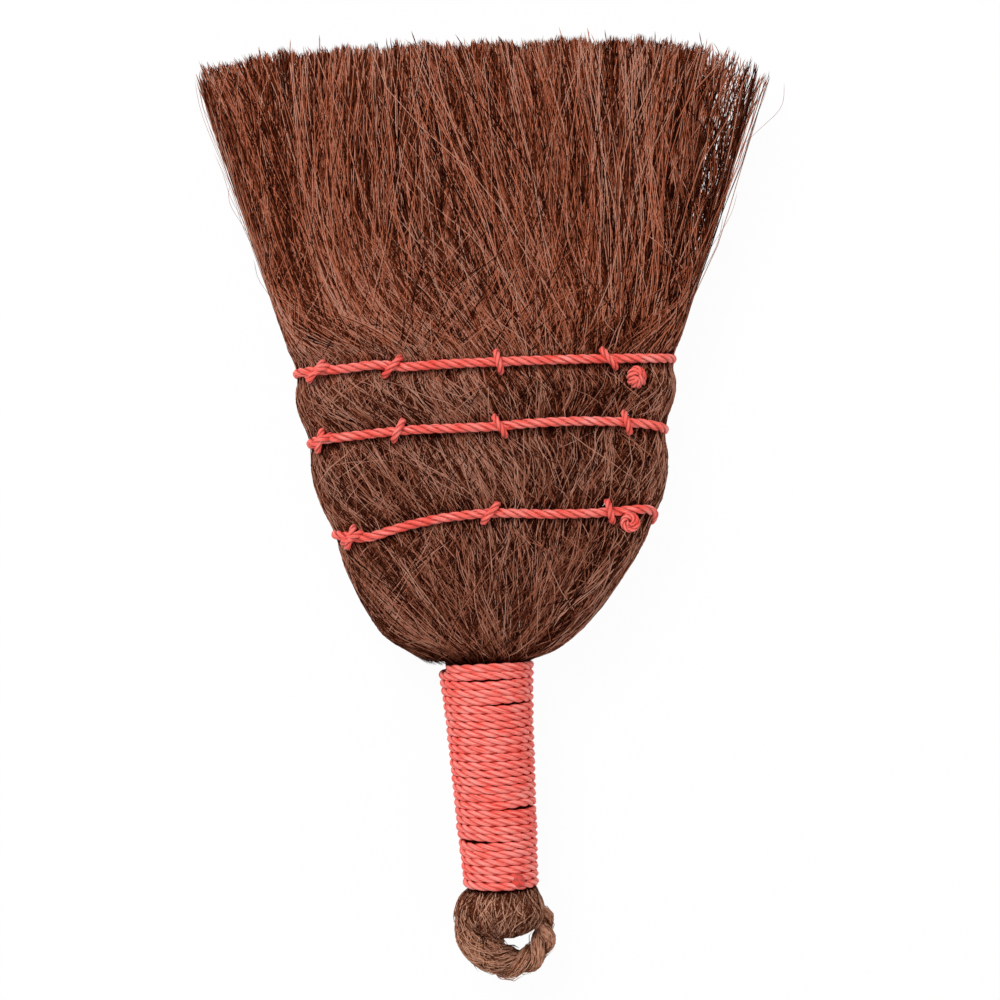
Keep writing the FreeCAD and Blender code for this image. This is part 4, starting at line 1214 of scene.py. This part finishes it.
class BROOM_OT_row_ties(bpy.types.Operator):
    """Ties that hold each row's cord down to the fibre, front and back"""

    bl_idname = "broom.row_ties"
    bl_label = "Row Ties"
    POINTS = 21
    DIVE = math.radians(28)    # how far past level each end of a tie turns down into the fibre
    RISE = 0.45                # share of the two cords' widths that a tie rises over its row
    # How far each front tie was pulled along its row, in millimetres
    PULLED = {"upper": (-3.0, 0.3, 0.2, -1.0), "middle": (-3.6, 0.5, -0.4, -1.2), "lower": (-1.5, 0.4, -0.3)}
    # The second turn of the leftmost ties: how much less it was pulled in millimetres, and its slant
    SECOND_PULLED = 0.6
    SECOND_SLANT = (0.88, 0.47)
    # How a tie's place on the row's cord is found: tries, share of the way at each, and least slope to go by
    TRIES, TRY_SHARE, LEAST_SLOPE = 8, 0.6, 2.0 * MM
    EDGE = 0.995               # share of the half width that the tries start within

    def execute(self, context):
        cord = context.scene.broom_cord
        for i, row in enumerate(ROWS):
            node = row + "_row_ties"
            parts = joined_parts(frame["nodes"][node].data)
            hoops = []
            for part, pulled in zip(parts, self.PULLED[row]):
                hoops += [self.hoop(part, cord, row, pulled * MM), self.hoop(part, cord, row, 0.0, front=False)]
            pulled = (self.PULLED[row][0] + self.SECOND_PULLED) * MM
            hoops.append(self.hoop(parts[0], cord, row, pulled, slant=self.SECOND_SLANT))
            piece = cord_piece(row + "_row_laid_ties", hoops, cord, cord.tie_width, cord.groove_shade, 41 + i)
            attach(piece, "sewn_head")
            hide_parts(node)
        return {"FINISHED"}

    def hoop(self, part, cord, row, pulled, front=True, slant=None):
        """One tie over the row's cord, with its ends going down into the fibre."""
        centre = (part.min(0) + part.max(0)) / 2
        flat = part[:, :2] - centre[:2]
        _, _, axes = np.linalg.svd(flat - flat.mean(0), full_matrices=False)
        span = np.ptp(flat @ axes[0]) / 2 - cord.tie_width / 2
        slant = axes[0] if slant is None else np.array(slant)
        centre[0] += pulled
        centre[1] = row_place(row, centre[0], front)
        side = 1 if front else -1
        level = SKIN.mid_z + side * self.cord_height(centre, cord)
        turn = np.linspace(-self.DIVE, np.pi + self.DIVE, self.POINTS)
        height = (cord.width + cord.tie_width) * self.RISE
        x = centre[0] - span * np.cos(turn) * slant[0]
        y = centre[1] - span * np.cos(turn) * slant[1]
        z = level + side * height * np.sin(turn)
        return np.stack([x, y, z], axis=-1)

    def cord_height(self, centre, cord):
        """Height of the row cord's middle over the head's middle, at a tie."""
        middle, half_width, _ = SKIN.oval(centre[1])
        angle = math.asin(max(-self.EDGE, min(self.EDGE, (centre[0] - middle) / half_width)))
        for _ in range(self.TRIES):
            found = SKIN.places(np.array([centre[1]]), np.array([angle]), cord.width / 2 - cord.sink)[0]
            slope = max(half_width * math.cos(angle), self.LEAST_SLOPE)
            angle -= (found[0] - centre[0]) / slope * self.TRY_SHARE
        return found[2] - SKIN.mid_z


class BROOM_OT_stopper_knots(bpy.types.Operator):
    """Knots that end the upper and the lower row"""

    bl_idname = "broom.stopper_knots"
    bl_label = "Stopper Knots"
    POINTS = 24
    # Turban knot: a hood over its top, then folds that fan out below. Each is places across, along and up in mm
    HOODS = (
        ((-2.3, -0.8, -1.6), (-1.9, 1.3, 0.2), (0.1, 2.7, 0.3), (2.0, 1.2, 0.2), (2.3, -1.0, -1.6)),
        ((-1.3, -0.4, 0.2), (-0.8, 1.0, 1.2), (0.1, 1.4, 1.3), (0.9, 0.9, 1.2), (1.4, -0.4, 0.2)),
    )
    FOLDS = ((-1.9, -1.5), (-0.8, -2.5), (0.6, -2.6), (1.9, -1.6))
    FOLD_TOP = (0.1, 0.2, 1.2)
    # Coil: its turns and outer radius, then the share of its run with the share of that radius, and with its height
    COIL_START = math.radians(200)
    COIL_TURNS, COIL_RADIUS = 2.3, 2.3 * MM
    COIL_SHARES = ((0, 1.0), (0.5, 1.0), (0.68, 0.42), (0.9, 0.3), (1, 0.12))
    COIL_RISES = ((0, -2.4), (0.08, -0.2), (0.5, 0.0), (0.68, 0.3), (1, 1.0))
    WIDTH_SHARE = 0.82         # of the ties' cord, since the knots are drawn tight
    SET = np.array((-1.2, -0.6, 0.0)) * MM    # the upper knot hangs a little lower than its row's hole
    LIFTED = np.array((-0.6, 4.4, 0.0)) * MM  # the lower knot is drawn up under its row, which bends over it

    def execute(self, context):
        cord = context.scene.broom_cord
        width = cord.tie_width * self.WIDTH_SHARE
        for name, paths, moved in (("upper", self.turban(), self.SET), ("lower", [self.curl()], self.LIFTED)):
            node = name + "_stopper_knot"
            low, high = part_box(node)
            seat = np.array(((low.x + high.x) / 2, (low.y + high.y) / 2, high.z - width)) + moved
            piece = cord_piece(name + "_laid_knot", [path + seat for path in paths], cord, width, cord.groove_shade, 51)
            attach(piece, "sewn_head")
            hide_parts(node)
        return {"FINISHED"}

    def turban(self):
        """A hood of two turns over folds that go down into the fibre."""
        paths = [rounded(hood, self.POINTS) for hood in self.HOODS]
        for x, y in self.FOLDS:
            fold = (self.FOLD_TOP, (x * 0.5, y * 0.5 + 0.2, 1.4), (x, y, 0.2), (x * 1.05, y * 1.05, -1.8))
            paths.append(rounded(fold, self.POINTS))
        return paths

    def curl(self):
        """A coil that winds in and up to its own middle."""
        t = np.linspace(0, 1, 4 * self.POINTS)
        angle = self.COIL_START - 2 * np.pi * self.COIL_TURNS * t
        radius = self.COIL_RADIUS * np.interp(t, *np.transpose(self.COIL_SHARES))
        rise = np.interp(t, *np.transpose(self.COIL_RISES)) * MM
        return np.stack([radius * np.cos(angle), radius * np.sin(angle), rise], axis=-1)


class BROOM_OT_handle_winding(bpy.types.Operator):
    """Cord wound round the handle, and its melted end"""

    bl_idname = "broom.handle_winding"
    bl_label = "Handle Winding"
    POINTS_PER_TURN = 36
    START = math.radians(150)  # angle of the first turn's start from the right edge
    # Gaps between turns: share of the way down, angle from the right edge in turns, and how wide
    GAPS = ((0.05, 0.24, 1.1), (0.175, 0.16, 1.0), (0.635, 0.1, 1.7), (0.78, 0.38, 1.5), (0.43, 0.71, 1.2))
    GAP_REACH = 0.1            # of a gap round the handle, in turns
    GAP_RISE, GAP_FALL = 5, 1.3  # how fast a gap opens from one turn to the next, and over how many turns it ends
    TUCK = 1.4 * MM            # by which the first turn is pushed up under the head's fibre
    SWELL, SWELL_LENGTH = 0.7 * MM, 7.0 * MM  # of the first turns, and how far down it goes
    LOOSE_OUT, LOOSE_DOWN = 0.09 * MM, 0.05 * MM  # by which turns differ
    CORE_RISE = 4.0 * MM       # by which the fibre under the winding reaches up into the head
    CORE_DEPTH = 0.72          # share of the cord's width by which that fibre lies under the winding
    GROOVE_DEPTHS = (0.7 * MM, 1.5 * MM)  # below the winding's outside, where its painted shade begins and is full
    LAY, WORN = 1.3, 0.055     # how much longer and how much paler the wound cord's lay is than the rows'
    DENTS, DENT_DEPTHS, DENT_REACH = 14, (-0.09, 0.07), 0.45  # of the melted end, as shares of its size
    SEAL_SHARES = (1.15, 1.0, 1.05)  # of the solid's size

    def execute(self, context):
        cord = context.scene.broom_cord
        width, groove_shade = cord.winding_width, cord.turn_groove_shade
        path = self.path(cord)
        winding = cord_piece("wound_cord", [path], cord, width, groove_shade, 61, self.outside, self.LAY, self.WORN)
        seal = self.seal(cord)
        for piece, node in ((winding, "handle_winding"), (seal, "winding_seal")):
            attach(piece, "sewn_head")
            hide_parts(node)
        core = self.core(width * self.CORE_DEPTH, context.scene.broom_fibre)
        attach(core, "sewn_head")
        return {"FINISHED"}

    def core(self, under, fibre):
        """Packed fibre close under the winding."""
        shell = bmesh.new()
        bmesh.ops.create_cone(
            shell, cap_ends=True, segments=64, radius1=HANDLE.butt_radius - under, radius2=HANDLE.neck_radius - under,
            depth=HANDLE.length + self.CORE_RISE,
        )
        turn = Vector((0, 0, 1)).rotation_difference(Vector(HANDLE.along)).to_matrix()
        bmesh.ops.rotate(shell, verts=shell.verts, matrix=turn, cent=(0, 0, 0))
        top = HANDLE.neck + HANDLE.along * self.CORE_RISE
        bmesh.ops.translate(shell, verts=shell.verts, vec=(top + HANDLE.butt) / 2)
        return new_object("handle_core", mesh_of_shell("handle_core", shell), packed_material("packed_handle", fibre))

    def outside(self, corners):
        """0 between the turns, where the groove colour is painted shade, and 1 on their outside."""
        down = (HANDLE.neck - corners) @ HANDLE.along
        radius = np.hypot((corners - HANDLE.neck) @ HANDLE.across, corners[:, 2] - HANDLE.neck[2])
        return 1 - eased(HANDLE.radius(down) - radius, *self.GROOVE_DEPTHS)

    def path(self, cord):
        """Turns of cord down the handle, a little uneven and with a few gaps."""
        turns, width = cord.winding_turns, cord.winding_width
        share = np.linspace(0, 1, round(turns * self.POINTS_PER_TURN))
        angle = self.START - 2 * np.pi * turns * share
        rng = np.random.default_rng(62)
        down = width / 2 - self.TUCK + (HANDLE.length - width + self.TUCK) * share
        ease = math.ceil(turns) + 1
        loose = np.interp(share * turns, np.arange(ease), rng.normal(0, 1, ease))
        for place, where, wide in self.GAPS:
            near = np.exp(-(((angle / (2 * np.pi) - where + 0.5) % 1 - 0.5) / self.GAP_REACH) ** 2)
            apart = (share - place) * turns
            opened = np.tanh(apart * self.GAP_RISE) * np.exp(-np.abs(apart) / self.GAP_FALL)
            down = down + opened * near * wide * MM / 2
        radius = HANDLE.radius(down) - width / 2 + loose * self.LOOSE_OUT
        radius = radius + self.SWELL * np.exp(-down / self.SWELL_LENGTH)
        return HANDLE.places(down + loose * self.LOOSE_DOWN, angle, radius)

    def seal(self, cord):
        """The end of the cord, melted flat on the last turns."""
        low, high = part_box("winding_seal")
        shell = bmesh.new()
        bmesh.ops.create_icosphere(shell, subdivisions=4, radius=0.5)
        rng = np.random.default_rng(63)
        dents = [
            (Vector(rng.normal(0, 1, 3)).normalized(), rng.uniform(*self.DENT_DEPTHS)) for _ in range(self.DENTS)
        ]
        for vertex in shell.verts:
            out = vertex.co.normalized()
            dent = sum(depth * math.exp(-((out - aim).length / self.DENT_REACH) ** 2) for aim, depth in dents)
            vertex.co += out * dent
        size = [full * share for full, share in zip(high - low, self.SEAL_SHARES)]
        bmesh.ops.scale(shell, verts=shell.verts, vec=size)
        bmesh.ops.translate(shell, verts=shell.verts, vec=(low + high) / 2)
        mesh = mesh_of_shell("melted_end", shell)
        mesh.shade_smooth()
        return new_object("melted_end", mesh, melted_material("melted_cord", cord))


class BROOM_OT_pommel(bpy.types.Operator):
    """Knob of gathered fibre below the handle"""

    bl_idname = "broom.pommel"
    bl_label = "Pommel"
    POINTS = 9
    COUNT = 2600
    HAIRS = 320                # that stand off the knob
    HAIR_LIFTS = (0.4, 1.6)    # how far their ends stand off, in millimetres
    # Knob's outline: distance down from the winding, and radius, in millimetres
    PROFILE = (
        (-1.0, 10.2), (1.0, 11.9), (3.0, 13.0), (5.5, 13.8), (8.0, 13.9), (10.2, 13.2), (12.2, 11.5), (13.8, 8.8),
        (14.9, 5.6), (15.5, 2.0),
    )
    STEPS = 60                 # along that outline
    STARTS = (1.0, 2.4, 0.5)   # how the fibres' starts are spread over the first half of it
    LENGTHS, LAST = (0.35, 0.8), 0.97  # shares of the outline that fibres run along, and where the last ends
    SWIRL, WAVE = 0.5, 0.08    # radians that fibres go round the knob, and sway
    LIFT, SUNK = 0.9 * MM, 0.6 * MM  # range of the fibres' lifts, and how deep the lowest lie
    LEAST_RADIUS = 0.3 * MM
    ASIDE = -1.0 * MM          # the knob's middle, to the right of the handle's
    ASIDE_STEPS = 10           # of the outline, over which it moves there
    WIDTHS = (0.45, 0.85)      # shares of the fibre width
    TONES = (0.4, (0.1, 0.45), (0.38, 0.86))  # share of dark fibres, their tones and those of the rest
    CORE_STEP, CORE_SHRINK = 0.5 * MM, 0.7 * MM

    def execute(self, context):
        fibre = context.scene.broom_fibre
        packed = packed_material("packed_pommel", fibre)
        core = packed_core("pommel_core", ("pommel",), packed, self.CORE_STEP, self.CORE_SHRINK)
        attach(core, "sewn_head")
        material = fibre_material("pommel_fibre", fibre.mat_dark, fibre.mat_mid, fibre.rope_light, fibre.pale)
        piece = tube_piece("pommel_fibres", *self.paths(fibre), material)
        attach(piece, "sewn_head")
        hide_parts("pommel")
        return {"FINISHED"}

    def paths(self, fibre):
        """Fibres that come out under the winding, swell over the knob and draw in under it."""
        rng = np.random.default_rng(71)
        count = self.COUNT
        angle = rng.uniform(0, 2 * np.pi, count)
        t = np.linspace(0, 1, self.POINTS)[None, :]
        low, high, reach = self.STARTS
        first = rng.beta(low, high, count)[:, None] * reach
        last = np.minimum(first + rng.uniform(*self.LENGTHS, count)[:, None], self.LAST)
        steps = np.arange(self.STEPS)
        down, radius = rounded(self.PROFILE, self.STEPS).T
        row = (first + (last - first) * t) * steps[-1]
        swirl = rng.normal(0, self.SWIRL, count)[:, None]
        sway = rng.normal(0, self.WAVE, count)[:, None]
        turn = angle[:, None] + swirl * (t - 0.5) + sway * np.sin(2 * np.pi * t)
        lift = rng.beta(1.5, 1.5, count)[:, None] * self.LIFT - self.SUNK
        hairs = np.where(np.arange(count) < self.HAIRS, rng.uniform(*self.HAIR_LIFTS, count), 0)
        lift = lift + hairs[:, None] * MM * t ** 2
        out = np.maximum(np.interp(row, steps, radius) + lift, self.LEAST_RADIUS)
        paths = HANDLE.places(HANDLE.length + np.interp(row, steps, down), turn, out)
        paths += HANDLE.across * self.ASIDE * np.clip(row / self.ASIDE_STEPS, 0, 1)[..., None]
        width = fibre.width * rng.uniform(*self.WIDTHS, count) / 2
        tones = two_tones(rng, count, *self.TONES)
        return paths, at_points(width, self.POINTS), at_points(tones, self.POINTS)


class BROOM_OT_hanging_loop(bpy.types.Operator):
    """Hanging loop of two fibre strands twisted together"""

    bl_idname = "broom.hanging_loop"
    bl_label = "Hanging Loop"
    POINTS = 56
    KEPT_POINTS = 12           # of those, for each fibre
    COUNT = 900
    # Middle line of the loop, from the gathered left root round to the right one, and half its thickness, in mm
    LINE = (
        (-2.6, -124.0, 3.6), (-3.3, -129.5, 5.2), (-2.8, -134.3, 6.1), (0.2, -138.7, 6.2), (4.8, -142.3, 5.5),
        (9.6, -144.5, 4.5), (13.8, -143.7, 4.1), (17.3, -140.4, 4.0), (19.6, -135.7, 3.7), (19.0, -131.0, 3.4),
        (17.5, -127.5, 3.2), (14.3, -124.9, 2.9),
    )
    TWIST_START = 0.40         # share of the loop where the two strands begin to turn round each other
    TWIST_RATE = 3.7           # turns for the loop's whole length
    GATHER = {1: (-0.02, 0.07), -1: (-0.16, 0.12)}  # where each strand begins and ends to draw thin, from there
    THINNED = 0.42             # share of its thickness that a strand then loses
    APART = 0.45               # share of the loop's thickness between its middle and a strand's
    CORE_SHARE, CORE_SIDES, CORE_TONE = 0.9, 16, 0.3
    STARTS, LENGTHS = (-0.3, 0.75), (0.3, 0.6)  # shares of the loop where fibres begin, and that they run along
    OUT, OUT_RANGE = 0.9, 0.12  # share of the way out of a strand where fibres lie
    LOOSE_SHARE = 0.12         # of the fibres, whose ends stand off
    LOOSE = (0.4, 1.8)         # by how far, in millimetres
    TURNS, SWAY = 0.8, 0.3     # turns of the fibres round a strand, and radians that they sway
    FRAYED = 2.6               # how much more they sway in the part that isn't twisted
    FRAYED_END = 0.12          # share of the loop over which that ends
    WIDTHS = (0.45, 0.85)      # shares of the fibre width
    TONES = (0.3, (0.1, 0.4), (0.4, 1.0))  # share of dark fibres, their tones and those of the rest
    CREVICE, CREVICE_SHARES = 0.6, (0.45, 0.95)  # painted shade: how much darker fibres are near the loop's middle, and where

    def execute(self, context):
        fibre = context.scene.broom_fibre
        material = fibre_material("rope_fibre", fibre.mat_dark, fibre.rope_mid, fibre.rope_light, fibre.pale, 0.55)
        core_material = packed_material("packed_rope", fibre)
        x, y, self.envelope = rounded(self.LINE, self.POINTS).T
        self.line = np.stack([x, y, np.full(self.POINTS, HANDLE.butt[2])], axis=-1)
        rng = np.random.default_rng(81)
        tones = np.full((1, self.POINTS), self.CORE_TONE)
        for side, node in zip((1, -1), STRANDS):
            middle, radius = self.strand(side)
            inside = radius[None] * self.CORE_SHARE
            core = tube_piece(node + "_core", middle[None], inside, tones, core_material, self.CORE_SIDES)
            piece = tube_piece(node + "_fibres", *self.fibres(rng, fibre, middle, radius), material)
            for part in (core, piece):
                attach(part, "hanging_loop")
            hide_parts(node)
        return {"FINISHED"}

    def strand(self, side):
        """Middle line and radius of one strand."""
        share = np.linspace(0, 1, self.POINTS)
        tangent = np.gradient(self.line, axis=0)
        tangent /= np.linalg.norm(tangent, axis=1)[:, None]
        outward = np.cross(tangent, HANDLE.up)
        begin, end = self.GATHER[side]
        laid = eased(share, self.TWIST_START + begin, self.TWIST_START + end)
        turned = np.maximum(share - self.TWIST_START, 0)
        phase = (math.radians(90) + 2 * np.pi * self.TWIST_RATE * turned)[:, None]
        aside = outward * np.cos(phase) + HANDLE.up * np.sin(phase)
        middle = self.line + side * aside * (self.envelope * self.APART)[:, None]
        return middle, self.envelope * (1.0 - self.THINNED * laid)

    def fibres(self, rng, fibre, middle, radius):
        """Fibres that run along a strand, twisted a little round it."""
        count = self.COUNT
        turn = rng.uniform(0, 2 * np.pi, count)[:, None]
        t = np.linspace(0, 1, self.POINTS)[None, :]
        start = np.maximum(rng.uniform(*self.STARTS, count), 0)[:, None]
        end = np.minimum(start + rng.uniform(*self.LENGTHS, count)[:, None], 1)
        s = start + (end - start) * t
        steps = np.arange(self.POINTS)
        row = s * steps[-1]

        def along(values):
            return np.stack([np.interp(row, steps, column) for column in values.T], axis=-1)

        out = np.interp(row, steps, radius) * (self.OUT + self.OUT_RANGE * rng.random(count)[:, None])
        loose = np.where(rng.random(count) < self.LOOSE_SHARE, rng.uniform(*self.LOOSE, count), 0)
        out += loose[:, None] * MM * t ** 4
        frayed = 1 + self.FRAYED * (1 - eased(s, self.TWIST_START - self.FRAYED_END, self.TWIST_START))
        sway = rng.normal(0, self.SWAY, count)[:, None] * np.sin(2 * np.pi * t) * frayed
        twist = turn - s * 2 * np.pi * self.TURNS + sway
        first, second = carried_frames(middle)
        aside = along(first) * np.cos(twist)[..., None] + along(second) * np.sin(twist)[..., None]
        paths = along(middle) + aside * out[..., None]
        kept = np.linspace(0, self.POINTS - 1, self.KEPT_POINTS).round().astype(int)
        width = fibre.width * rng.uniform(*self.WIDTHS, count) / 2
        tones = two_tones(rng, count, *self.TONES)
        far = np.linalg.norm(paths - along(self.line), axis=-1) / np.interp(row, steps, self.envelope)
        # Painted shade in the crevice between the two strands
        tones = tones[:, None] - self.CREVICE * (1 - eased(far, *self.CREVICE_SHARES))
        return paths[:, kept], at_points(width, self.KEPT_POINTS), tones[:, kept]


class BROOM_OT_stage(bpy.types.Operator):
    """Pale floor, soft light and the camera"""

    bl_idname = "broom.stage"
    bl_label = "Stage"
    WHITE = (1, 1, 1, 1)
    FLOOR_SIZE = 12.0
    FLOOR_BELOW = 1.3 * MM     # under the solids, where the lowest fibres lie
    FLOOR_COLOUR = (0.92, 0.92, 0.92, 1)
    FLOOR_SHOWN = 0.96         # share of the floor's own white that the camera sees
    SENSOR = 36.0
    FAR_END = 50.0
    KEY_PLACE, KEY_SIZE = (-0.55, 0.75, 1.25), 0.9
    FILL_PLACE, FILL_SIZE = (0.9, -0.6, 1.0), 1.2

    def execute(self, context):
        stage = context.scene.broom_stage
        context.scene.view_settings.view_transform = "Standard"
        self.floor()
        self.sky(context.scene, stage.sky)
        self.lamp("key_light", self.KEY_PLACE, self.KEY_SIZE, stage.key_power)
        self.lamp("fill_light", self.FILL_PLACE, self.FILL_SIZE, stage.fill_power)
        camera = bpy.data.cameras.new("camera")
        camera.lens = stage.lens
        camera.sensor_width = self.SENSOR
        camera.clip_end = self.FAR_END
        holder = linked("camera", camera)
        distance = stage.view_width * stage.lens / self.SENSOR
        holder.location = (*stage.view_centre, SKIN.mid_z + distance)
        context.scene.camera = holder
        return {"FINISHED"}

    def floor(self):
        """A floor that shows white to the camera, glossy and clear rays, but for a share of its shadows."""
        shell = bmesh.new()
        bmesh.ops.create_grid(shell, x_segments=1, y_segments=1, size=self.FLOOR_SIZE / 2)
        bmesh.ops.translate(shell, verts=shell.verts, vec=(0, 0, CAD_BOX[0].z - self.FLOOR_BELOW))
        shading = Shading(bpy.data.materials.new("pale_floor"))
        shader = shading.nodes["Principled BSDF"]
        shading.join(shader, {"Base Color": self.FLOOR_COLOUR, "Roughness": 0.9, "Specular IOR Level": 0.1})
        white = shading.add("Emission", {"Color": self.WHITE, "Strength": 1.0})
        rays = shading.nodes.new("ShaderNodeLightPath").outputs
        ray = rays["Is Camera Ray"]
        for kind in ("Is Glossy Ray", "Is Transmission Ray"):
            ray = shading.add("Math", {0: ray, 1: rays[kind]}, operation="MAXIMUM")
        shown = shading.add("Math", {0: ray, 1: self.FLOOR_SHOWN}, operation="MULTIPLY")
        mixed = shading.add("MixShader", {0: shown, 1: shader.outputs[0], 2: white})
        shading.join(shading.nodes["Material Output"], {"Surface": mixed})
        new_object("floor", mesh_of_shell("floor", shell), shading.owner)

    def sky(self, scene, strength):
        """Even light all round, which shows white to the camera."""
        scene.world = bpy.data.worlds.new("sky")
        shading = Shading(scene.world)
        lit = shading.nodes["Background"]
        shading.join(lit, {"Color": self.WHITE, "Strength": strength})
        white = shading.add("Background", {"Color": self.WHITE})
        ray = shading.add("LightPath", {}, "Is Camera Ray")
        mixed = shading.add("MixShader", {0: ray, 1: lit.outputs[0], 2: white})
        shading.join(shading.nodes["World Output"], {"Surface": mixed})

    def lamp(self, name, place, size, power):
        """A round lamp that is aimed at the broom."""
        lamp = bpy.data.lights.new(name, "AREA")
        lamp.shape = "DISK"
        lamp.size = size
        lamp.energy = power
        holder = linked(name, lamp)
        holder.location = place
        holder.rotation_euler = (-Vector(place)).to_track_quat("-Z", "Y").to_euler()


OPERATORS = (
    BROOM_OT_packed_cores,
    BROOM_OT_sewn_mat,
    BROOM_OT_bristles,
    BROOM_OT_row_cords,
    BROOM_OT_row_ties,
    BROOM_OT_stopper_knots,
    BROOM_OT_handle_winding,
    BROOM_OT_pommel,
    BROOM_OT_hanging_loop,
    BROOM_OT_stage,
)


class BROOM_PT_sidebar(bpy.types.Panel):
    """Pieces of the broom, in the order in which they are made"""

    bl_idname = "BROOM_PT_sidebar"
    bl_label = "Hand Broom"
    bl_space_type = "VIEW_3D"
    bl_region_type = "UI"
    bl_category = "Broom"

    def draw(self, context):
        for settings in (context.scene.broom_fibre, context.scene.broom_cord, context.scene.broom_stage):
            box = self.layout.box()
            for name in settings.__annotations__:
                box.prop(settings, name)
        for operator in OPERATORS:
            self.layout.operator(operator.bl_idname)


SETTINGS = {"broom_fibre": FibreSettings, "broom_cord": CordSettings, "broom_stage": StageSettings}
CLASSES = (*SETTINGS.values(), *OPERATORS, BROOM_PT_sidebar)


def register():
    for cls in CLASSES:
        bpy.utils.register_class(cls)
    for name, group in SETTINGS.items():
        setattr(bpy.types.Scene, name, PointerProperty(type=group))


def unregister():
    for name in SETTINGS:
        delattr(bpy.types.Scene, name)
    for cls in reversed(CLASSES):
        bpy.utils.unregister_class(cls)


def main():
    register()
    for operator in OPERATORS:
        group, name = operator.bl_idname.split(".")
        getattr(getattr(bpy.ops, group), name)()


if __name__ == "__main__":
    main()
